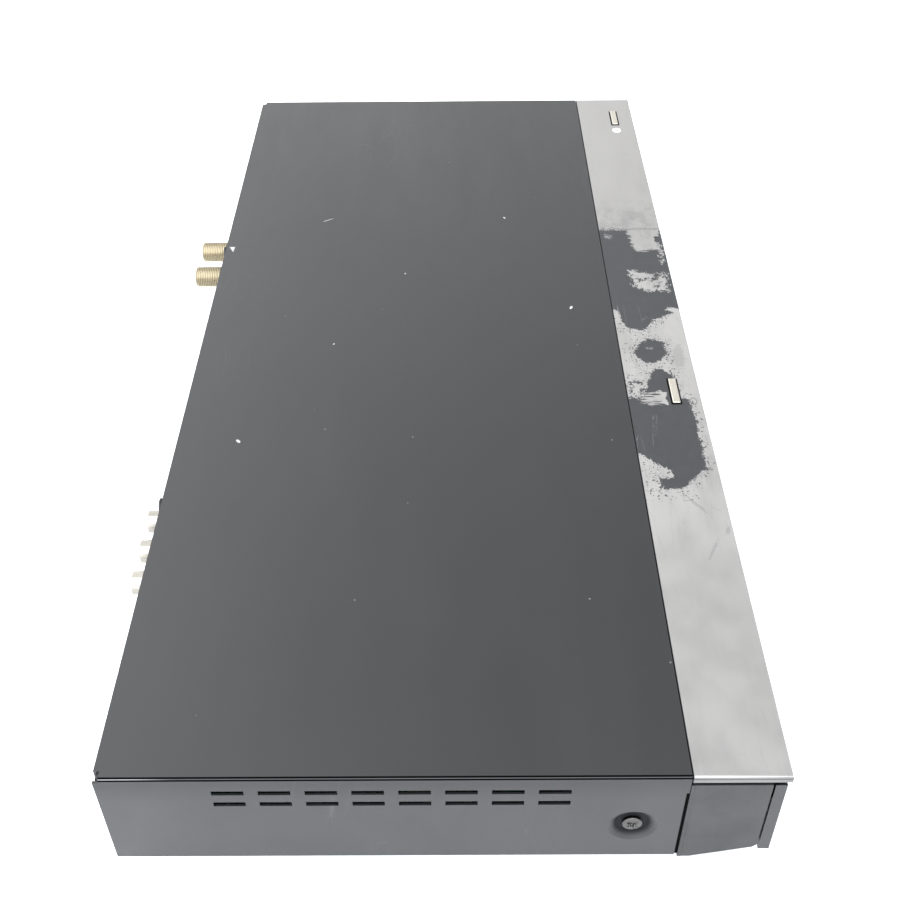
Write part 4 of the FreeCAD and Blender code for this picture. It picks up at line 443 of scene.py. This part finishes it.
def cap_silver():
    g = Finish("cap_silver")
    x, y, z = g.axes()
    v = g.minus(SEAM, y)
    worn, faint, depth = strip_wear(g, x, v)
    flake = g.noise(5200.0, 2.0, 0.7)
    scratch = g.cells(55.0, g.scaled(0.5, 4.5, 1.0), "DISTANCE_TO_EDGE").outputs["Distance"]
    hairline = g.times(g.spread(scratch, 0.02, 0.004), g.spread(g.noise(28.0, 3.0), 0.55, 0.66))
    silver = handled_silver_and_shade(g, x, v, g.minus(TOP, z), depth, flake, hairline)
    bare = g.mix(g.noise(240.0, 4.0), rgb(0.016, 0.0165, 0.018), rgb(0.026, 0.0265, 0.028))
    bare = g.mix(g.times(hairline, 0.35), bare, grey(0.20))
    tint = g.mix(worn, silver, bare)
    tint = g.mix(g.times(faint, worn, 0.35), tint, rgb(0.42, 0.42, 0.41))
    # Painted shade: the strip's rear wall at the seam is near-black, darker than its bare plastic, and not
    # metallic.
    rear_wall_shade = g.spread(v, 0.30, 0.10)
    tint = g.mix(rear_wall_shade, tint, grey(0.006))
    metal = g.times(g.blend(worn, 0.75, 0.0), g.minus(1.0, rear_wall_shade))
    gloss = g.blend(worn, g.spread(g.noise(60.0, 5.0), 0.3, 0.7, 0.40, 0.50), 0.5)
    height = g.minus(g.times(flake, 0.25), worn)
    return g.shade(Base_Color=tint, Metallic=metal, Roughness=gloss, Specular_IOR_Level=0.44,
                   Normal=g.bump(height, 0.4, 0.00005))


# Other finishes with marks of their own


def button_paint():
    """A champagne-painted top face over near-black walls: dark plastic, made darker as painted shade in the
    gap round the key.
    """
    g = Finish("button_metal")
    z = g.axes()[2]
    brush = g.noise(50.0, 5.0, 0.65, g.scaled(2.0, 30.0, 30.0))
    top = g.mix(g.spread(brush, 0.3, 0.7), rgb(0.36, 0.335, 0.285), rgb(0.43, 0.405, 0.35))
    # 1 on the painted top; the walls below it take near-black painted shade.
    paint = g.spread(g.minus(KEY_TOP, z), 0.40, 0.25)
    return g.shade(Base_Color=g.mix(paint, grey(0.006), top), Metallic=g.times(paint, 0.6), Roughness=0.38,
                   Normal=g.bump(brush, 0.3, 0.00003))


def jack_plastic():
    """Red, yellow and white necks by their place along the panel, on a black block."""
    g = Finish("jack_plastic")
    x, y = g.axes()[:2]
    neck = rgb(0.55, 0.03, 0.03)
    for step, colour in ((0.5, rgb(0.75, 0.52, 0.06)), (1.5, rgb(0.72, 0.70, 0.66))):
        limit = RED_JACK + step * JACK_PITCH
        neck = g.mix(g.spread(x, limit - 0.1, limit + 0.1), neck, colour)
    black = g.mix(g.noise(60.0, 3.0), grey(0.016), grey(0.024))
    tint = g.mix(g.spread(g.minus(y, REAR_EDGE), -0.1, 0.1), black, neck)
    return g.shade(Base_Color=tint, Roughness=g.spread(g.noise(150.0, 4.0), 0.3, 0.7, 0.30, 0.40),
                   Normal=g.bump(g.noise(1800.0, 2.0), 0.3, 0.00003))


def board_green():
    """Solder mask over copper tracks, with tinned pads."""
    g = Finish("board_green")
    tracks = g.cells(260.0, g.scaled(1.0, 2.2, 1.0), "DISTANCE_TO_EDGE").outputs["Distance"]
    copper = g.spread(tracks, 0.10, 0.07)
    tint = g.mix(copper, rgb(0.010, 0.060, 0.028), rgb(0.018, 0.105, 0.045))
    pads = g.cells(330.0)
    kept = g.spread(g.channel(pads.outputs["Color"], 1), 0.70, 0.72)
    pad = g.times(g.spread(pads.outputs["Distance"], 0.22, 0.18), kept)
    tint = g.mix(pad, tint, rgb(0.55, 0.54, 0.50))
    height = g.total(copper, g.times(pad, 2.0))
    return g.shade(Base_Color=tint, Metallic=g.times(pad, 0.9), Roughness=g.blend(pad, 0.34, 0.28),
                   Normal=g.bump(height, 0.5, 0.00003))


def window_smoke():
    g = Finish("window_smoke")
    haze = g.noise(70.0, 4.0)
    gloss = g.spread(haze, 0.3, 0.7, 0.05, 0.11)
    return g.shade(Base_Color=g.mix(haze, grey(0.006), grey(0.011)), Roughness=gloss,
                   Coat_Weight=0.6, Coat_Roughness=0.04)


def light_lens():
    g = Finish("light_lens")
    haze = g.noise(900.0, 3.0)
    tint = g.mix(haze, rgb(0.80, 0.80, 0.79), rgb(0.92, 0.92, 0.91))
    return g.shade(Base_Color=tint, Roughness=0.35, Subsurface_Weight=0.15,
                   Normal=g.bump(haze, 0.2, 0.00003))


def foot_rubber():
    g = Finish("foot_rubber")
    bloom = g.noise(160.0, 5.0, 0.7)
    tint = g.mix(g.spread(bloom, 0.45, 0.75), grey(0.018), grey(0.045))
    return g.shade(Base_Color=tint, Roughness=g.spread(bloom, 0.3, 0.7, 0.70, 0.90),
                   Normal=g.bump(g.noise(1300.0, 3.0), 0.6, 0.00008))


def seam_shade_sheet():
    """A near-black sheet that stands in for the shade inside a seam."""
    g = Finish("seam_shade_sheet")
    tint = g.mix(g.noise(1500.0, 3.0), grey(0.0008), grey(0.003))
    return g.shade(Base_Color=tint, Roughness=1.0, Specular_IOR_Level=0.04,
                   Normal=g.bump(g.noise(2600.0, 2.0), 0.5, 0.00008))


def belt_rubber():
    g = Finish("belt_rubber")
    specular_with_painted_shade = g.noise(300.0, 3.0)
    tint = g.mix(specular_with_painted_shade, grey(0.012), grey(0.026))
    return g.shade(Base_Color=tint, Roughness=g.spread(specular_with_painted_shade, 0.3, 0.7, 0.5, 0.7),
                   Normal=g.bump(g.noise(2400.0, 2.0), 0.4, 0.00004))


def lens_glass():
    g = Finish("lens_glass")
    tint = g.mix(g.noise(400.0, 2.0), rgb(0.04, 0.05, 0.12), rgb(0.08, 0.06, 0.16))
    return g.shade(Base_Color=tint, Roughness=0.04, Coat_Weight=1.0, Coat_Roughness=0.02)


MATERIALS = {
    "cover_paint": cover_paint(),
    "cap_silver": cap_silver(),
    "rear_paint": moulded("rear_paint", rgb(0.012, 0.012, 0.013), 0.46, 0.00004),
    "pan_steel": rolled("pan_steel", rgb(0.52, 0.53, 0.54), 0.36, (2.0, 26.0, 26.0)),
    "housing_dark": moulded("housing_dark", rgb(0.0085, 0.0085, 0.0085), 0.50, 0.00007),
    "plate_black": moulded("plate_black", rgb(0.003, 0.003, 0.003), 0.30, 0.00001, 0.12, 900.0),
    "window_smoke": window_smoke(),
    "button_metal": button_paint(),
    "light_lens": light_lens(),
    "foot_rubber": foot_rubber(),
    "screw_steel": rolled("screw_steel", rgb(0.10, 0.098, 0.094), 0.30, (9.0, 9.0, 9.0)),
    "screw_black": moulded("screw_black", rgb(0.014, 0.014, 0.015), 0.38, 0.00003),
    "board_green": board_green(),
    "drive_black": moulded("drive_black", rgb(0.022, 0.022, 0.023), 0.55),
    "drive_steel": rolled("drive_steel", rgb(0.50, 0.51, 0.52), 0.33, (26.0, 2.0, 26.0)),
    "gear_white": moulded("gear_white", rgb(0.66, 0.65, 0.60), 0.42, 0.00003, 0.05),
    "belt_rubber": belt_rubber(),
    "motor_steel": rolled("motor_steel", rgb(0.60, 0.60, 0.58), 0.28, (8.0, 8.0, 30.0)),
    "sink_aluminium": rolled("sink_aluminium", rgb(0.66, 0.67, 0.68), 0.38, (20.0, 20.0, 2.0)),
    "disk_aluminium": rolled("disk_aluminium", rgb(0.60, 0.61, 0.62), 0.34, (9.0, 2.0, 20.0)),
    "socket_plating": rolled("socket_plating", rgb(0.43, 0.375, 0.26), 0.32, (8.0, 8.0, 8.0)),
    "jack_plastic": jack_plastic(),
    "socket_black": moulded("socket_black", rgb(0.015, 0.015, 0.016), 0.42),
    "shell_metal": rolled("shell_metal", rgb(0.34, 0.325, 0.29), 0.30, (12.0, 4.0, 20.0)),
    "capacitor_sleeve": moulded("capacitor_sleeve", rgb(0.030, 0.032, 0.060), 0.32, 0.00001),
    "core_iron": rolled("core_iron", rgb(0.30, 0.26, 0.18), 0.5, (3.0, 30.0, 30.0), 0.5),
    "lens_glass": lens_glass(),
    "fan_black": moulded("fan_black", rgb(0.017, 0.017, 0.018), 0.44),
}


def dress_nodes():
    """Each CAD node takes the finish of its slot in the record."""
    for entry in frame["record"]["subparts"]:
        slots = nodes[entry["node"]].data.materials
        finish = MATERIALS[entry["material_slot"]]
        if not slots:
            slots.append(finish)
        for index in range(len(slots)):
            slots[index] = finish


# Meshes


def plain_mesh(name, vertices, faces):
    mesh = bpy.data.meshes.new(name)
    mesh.from_pydata(vertices, [], faces)
    mesh.update()
    obj = bpy.data.objects.new(name, mesh)
    bpy.context.scene.collection.objects.link(obj)
    return obj


def skin(rings):
    """Points and faces of a closed skin over rings that have as many points each."""
    columns = len(rings[0])
    last = (len(rings) - 1) * columns
    faces = []
    for start in range(0, last, columns):
        for here in range(columns):
            beside = (here + 1) % columns
            faces.append((start + here, start + beside, start + columns + beside, start + columns + here))
    faces.append(tuple(range(columns))[::-1])
    faces.append(tuple(range(last, last + columns)))
    return [point for ring in rings for point in ring], faces


def lathe(rings, origin, outward):
    """A skin round an axis. Each ring has (millimetres outwards, radius) for each column."""
    axis = Vector(outward)
    first = axis.orthogonal().normalized()
    second = axis.cross(first)
    placed = []
    for ring in rings:
        turns = [math.tau * column / len(ring) for column in range(len(ring))]
        spokes = [math.cos(turn) * first + math.sin(turn) * second for turn in turns]
        placed.append([Vector(origin) + (along * axis + radius * spoke) * MM
                       for (along, radius), spoke in zip(ring, spokes)])
    return skin(placed)


def joined(name, skins, slot, stands_for=None, finish=None, smooth=True):
    """One piece of several skins, in a slot's finish or its own, in place of a CAD node or beside them."""
    vertices, faces = [], []
    for points, sides in skins:
        faces += [tuple(index + len(vertices) for index in side) for side in sides]
        vertices += points
    obj = plain_mesh(name, vertices, faces)
    obj.data.polygons.foreach_set("use_smooth", [smooth] * len(faces))
    obj.data.materials.append(finish or MATERIALS[slot])
    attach(obj, "root")
    if stands_for:
        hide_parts(stands_for)


# Threads, sockets and screw heads, in millimetres along their axes

BARREL_COLUMNS = 48
INSULATOR_COLUMNS = 32
COLLAR = 2.6
RELIEF = 3.2
BARREL_PITCH = 0.8
HEAD_COLUMNS = 64
HEAD_ROWS = 20
HEAD_HEIGHT = 1.6
SHANK_COLUMNS = 24
SHANK_ROOT, SHANK_CREST = 1.15, 1.5
SHANK_TIP, SHANK_TOP = -7.5, -1.5
SHANK_PITCH = 0.9
ROWS_PER_PITCH = 6


def plain_rings(columns, radius, *profile):
    """Round rings, each by its distance outwards and its share of the radius."""
    return [[(along, share * radius)] * columns for along, share in profile]


def thread_rings(columns, start, stop, root, crest_highlight, pitch):
    """A screw thread's rings: its ridge climbs one pitch for each turn."""
    rings = []
    for step in range(round((stop - start) / pitch * ROWS_PER_PITCH) + 1):
        along = start + step * pitch / ROWS_PER_PITCH
        ridge = [1 - abs(2 * ((along / pitch + column / columns) % 1) - 1) for column in range(columns)]
        rings.append([(along, root + (crest_highlight - root) * level) for level in ridge])
    return rings


def recess(across, along, radius):
    """From 0 at the face of a screw head to 1 at the bottom of its cross recess."""
    arm, half = 0.62 * radius, 0.19 * radius
    far, near = max(across, along), min(across, along)
    inside = min(arm - far, half * (1.5 - 0.25 * far / radius) - near)
    return min(max(inside / (0.10 * radius), 0.0), 1.0)


def cross_head(radius):
    """Rings of a pan head from its rim to its middle, with a cross recess."""
    rings = plain_rings(HEAD_COLUMNS, radius, (-HEAD_HEIGHT, 0.96), (-HEAD_HEIGHT * 0.45, 1.0))
    for step in range(HEAD_ROWS):
        out = radius * (1 - step / (HEAD_ROWS - 0.5))
        dome = 0.30 * (out / radius) ** 2.4
        ring = []
        for column in range(HEAD_COLUMNS):
            turn = math.tau * column / HEAD_COLUMNS
            depth = recess(abs(out * math.cos(turn)), abs(out * math.sin(turn)), radius)
            ring.append((-HEAD_HEIGHT * (dome + 0.60 * depth), out))
        rings.append(ring)
    return rings


def screw(origin, outward, radius):
    """A pan head and its threaded shank; origin is the middle of the head's face."""
    shank = thread_rings(SHANK_COLUMNS, SHANK_TIP, SHANK_TOP, SHANK_ROOT, SHANK_CREST, SHANK_PITCH)
    return [lathe(cross_head(radius), origin, outward), lathe(shank, origin, outward)]


def screws():
    """One at each end and two at the rear, in place of the CAD's plain ones."""
    low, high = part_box("side_screws")
    radius = (high.z - low.z) / 2
    middle = (low + high) / 2
    skins = []
    for x, way in ((low.x, -1), (high.x, 1)):
        skins += screw((x, middle.y, middle.z), (way, 0, 0), radius / MM)
    joined("side_screw_heads", skins, "screw_steel", "side_screws")
    low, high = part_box("rear_screws")
    radius = (high.z - low.z) / 2
    skins = []
    for x in (low.x + radius, high.x - radius):
        skins += screw((x, high.y, low.z + radius), (0, 1, 0), radius / MM)
    joined("rear_screw_heads", skins, "screw_black", "rear_screws")


def antenna_sockets():
    """Threaded barrels with a moulded insulator and a contact hole."""
    low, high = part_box("antenna_connectors")
    radius = (high.z - low.z) / 2 / MM
    tip = (high.y - low.y) / MM
    barrel = plain_rings(BARREL_COLUMNS, radius, (0.0, 0.99), (COLLAR, 0.99), (COLLAR, 0.86),
                         (RELIEF, 0.86))
    barrel += thread_rings(BARREL_COLUMNS, RELIEF + 0.1, tip - 0.7, radius * 0.91, radius, BARREL_PITCH)
    barrel += plain_rings(BARREL_COLUMNS, radius, (tip - 0.6, 0.88), (tip, 0.84), (tip, 0.74),
                          (tip - 1.0, 0.72))
    insulator = plain_rings(INSULATOR_COLUMNS, radius, (tip - 4.0, 0.70), (tip - 1.1, 0.72),
                            (tip - 0.9, 0.66), (tip - 0.8, 0.30), (tip - 1.1, 0.14), (tip - 3.0, 0.12))
    origins = [(x, low.y, low.z + radius * MM) for x in (low.x + radius * MM, high.x - radius * MM)]
    joined("antenna_barrels", [lathe(barrel, origin, (0, 1, 0)) for origin in origins],
           "socket_plating", "antenna_connectors")
    joined("antenna_insulators", [lathe(insulator, origin, (0, 1, 0)) for origin in origins], "gear_white")


# The gap between the housing and the cover's side walls, in millimetres

STRIP_ROWS = 12
LIP_WIDTH = 1.05
STRIP_BACK = 0.9
SHADE_SHEET_SUNK = 0.4
SHADE_SHEET_REACH = 2.08
SHADE_SHEET_BELOW = 1.1
SHADE_SHEET_ABOVE = 3.0


def upright_strip(x_outer, x_inner, y_start, y_stop, bottom, top):
    """A skin round a four-sided strip that stands upright."""
    rows = []
    for row in range(STRIP_ROWS + 1):
        z = bottom + (top - bottom) * row / STRIP_ROWS
        rows.append([Vector((x_outer, y_start, z)), Vector((x_outer, y_stop, z)),
                     Vector((x_inner, y_stop, z)), Vector((x_inner, y_start, z))])
    return skin(rows)


def side_seams():
    """The housing's lips beside the cover's front edges, with a near-black sheet in each gap as painted
    shade.
    """
    low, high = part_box("front_body")
    lip_edge = high.y + LIP_WIDTH * MM
    lips, shade_sheets = [], []
    for way in (-1, 1):
        face = high.x * way
        back = face - way * STRIP_BACK * MM
        lips.append(upright_strip(face, back, high.y, lip_edge, low.z, high.z))
        # Painted shade: a near-black sheet set into each gap.
        shade_sheets.append(upright_strip(face - way * SHADE_SHEET_SUNK * MM, back, lip_edge, high.y + SHADE_SHEET_REACH * MM,
                                   low.z + SHADE_SHEET_BELOW * MM, high.z - SHADE_SHEET_ABOVE * MM))
    joined("housing_lips", lips, "housing_dark", smooth=False)
    joined("seam_shade_sheets", shade_sheets, "foot_rubber", finish=seam_shade_sheet(), smooth=False)


# Rounds along sharp edges, in millimetres

EASED_EDGES = {
    "front_cap": 0.12,
    "open_close_button": 0.2,
    "power_button": 0.2,
    "front_body": 0.25,
    "front_flap": 0.25,
}
SHARP_DEGREES = 38.0


def ease_edges(name, width):
    """A small round along a CAD piece's sharp edges."""
    weld = nodes[name].modifiers.new("join", "WELD")
    weld.merge_threshold = 0.002 * MM
    bevel = nodes[name].modifiers.new("ease", "BEVEL")
    bevel.width = width * MM
    bevel.segments = 2
    bevel.limit_method = "ANGLE"
    bevel.angle_limit = math.radians(SHARP_DEGREES)


# Surroundings, in metres. The room's light is a base, with more from the rear side, more from
# overhead and behind the viewer, and less from high up ahead. Ways are in the plane of X and Z.
# Lamps: place, aim, size and power in watts.

FLOOR_REACH = 6.0
ROOM_BASE, ROOM_REAR, ROOM_OVERHEAD, ROOM_AHEAD = 0.92, 1.85, 3.7, 0.80
OVERHEAD_WAY = (-0.6, 0.8)
AHEAD_WAY = (0.57, 0.82)
LAMPS = {
    "rear_soft": ((1.1, 1.2, 1.2), (0.0, 0.0, 0.0), 1.4, 8.0),
    "near_soft": ((-1.6, -0.5, 1.2), (-0.2, 0.0, 0.0), 0.9, 6.0),
}
SENSOR = 36.0
PHOTO_PIXELS = 900.0
FOCAL_PIXELS = 1216.42
EYE = (-0.41178, -0.01187, 0.34777)
EYE_DOWN, EYE_PAN, EYE_ROLL = math.radians(41.511), math.radians(0.351), math.radians(-0.565)


def floor():
    rim = [(FLOOR_REACH * x, FLOOR_REACH * y, 0) for x, y in ((-1, -1), (1, -1), (1, 1), (-1, 1))]
    obj = plain_mesh("floor", rim, [(0, 1, 2, 3)])
    g = Finish("floor_white")
    g.shade(Base_Color=g.mix(g.noise(2.0, 4.0), grey(0.90), grey(0.93)), Roughness=0.8)
    obj.data.materials.append(g.material)


def lamp(name, place, aim, size, power):
    data = bpy.data.lights.new(name, "AREA")
    data.shape = "DISK"
    data.size = size
    data.energy = power
    obj = bpy.data.objects.new(name, data)
    obj.location = place
    obj.rotation_euler = (Vector(aim) - Vector(place)).to_track_quat("-Z", "Y").to_euler()
    bpy.context.scene.collection.objects.link(obj)


def room():
    """Light from all round, stronger from some ways than from others."""
    world = bpy.data.worlds.new("room")
    bpy.context.scene.world = world
    world.use_nodes = True
    g = Graph(world.node_tree)
    way = g.add("ShaderNodeTexCoord").outputs["Generated"]
    x, y, z = g.add("ShaderNodeSeparateXYZ", {0: way}).outputs[:3]
    overhead = g.ramp(g.fused(x, OVERHEAD_WAY[0], g.times(z, OVERHEAD_WAY[1])), 0.50, 1.0)
    ahead = g.ramp(g.fused(x, AHEAD_WAY[0], g.times(z, AHEAD_WAY[1])), 0.92, 0.995)
    rear = g.ramp(y, -0.30, 0.45)
    strength = g.fused(rear, ROOM_REAR, ROOM_BASE)
    strength = g.fused(overhead, ROOM_OVERHEAD, strength)
    strength = g.fused(ahead, -ROOM_AHEAD, strength)
    back = world.node_tree.nodes["Background"]
    g.feed(back.inputs["Strength"], strength)
    g.feed(back.inputs["Color"], g.mix(overhead, grey(1.0), rgb(0.93, 0.975, 1.06)))


def camera():
    """The photograph's viewpoint: beyond one end, looking along the object and down."""
    level = math.cos(EYE_DOWN)
    ahead = Vector((level * math.cos(EYE_PAN), level * math.sin(EYE_PAN), -math.sin(EYE_DOWN)))
    right = ahead.cross(Vector((0, 0, 1))).normalized()
    up = right.cross(ahead)
    side = math.cos(EYE_ROLL) * right + math.sin(EYE_ROLL) * up
    top = -math.sin(EYE_ROLL) * right + math.cos(EYE_ROLL) * up
    data = bpy.data.cameras.new("view")
    data.sensor_width = SENSOR
    data.lens = SENSOR * FOCAL_PIXELS / PHOTO_PIXELS
    data.clip_start = 0.01
    obj = bpy.data.objects.new("view", data)
    obj.matrix_world = Matrix.Translation(Vector(EYE)) @ Matrix((side, top, -ahead)).transposed().to_4x4()
    bpy.context.scene.collection.objects.link(obj)
    bpy.context.scene.camera = obj


dress_nodes()
antenna_sockets()
screws()
side_seams()
for name, width in EASED_EDGES.items():
    ease_edges(name, width)
floor()
room()
for name, setting in LAMPS.items():
    lamp(name, *setting)
camera()
bpy.context.scene.view_settings.view_transform = "Standard"
bpy.context.scene.view_settings.look = "None"
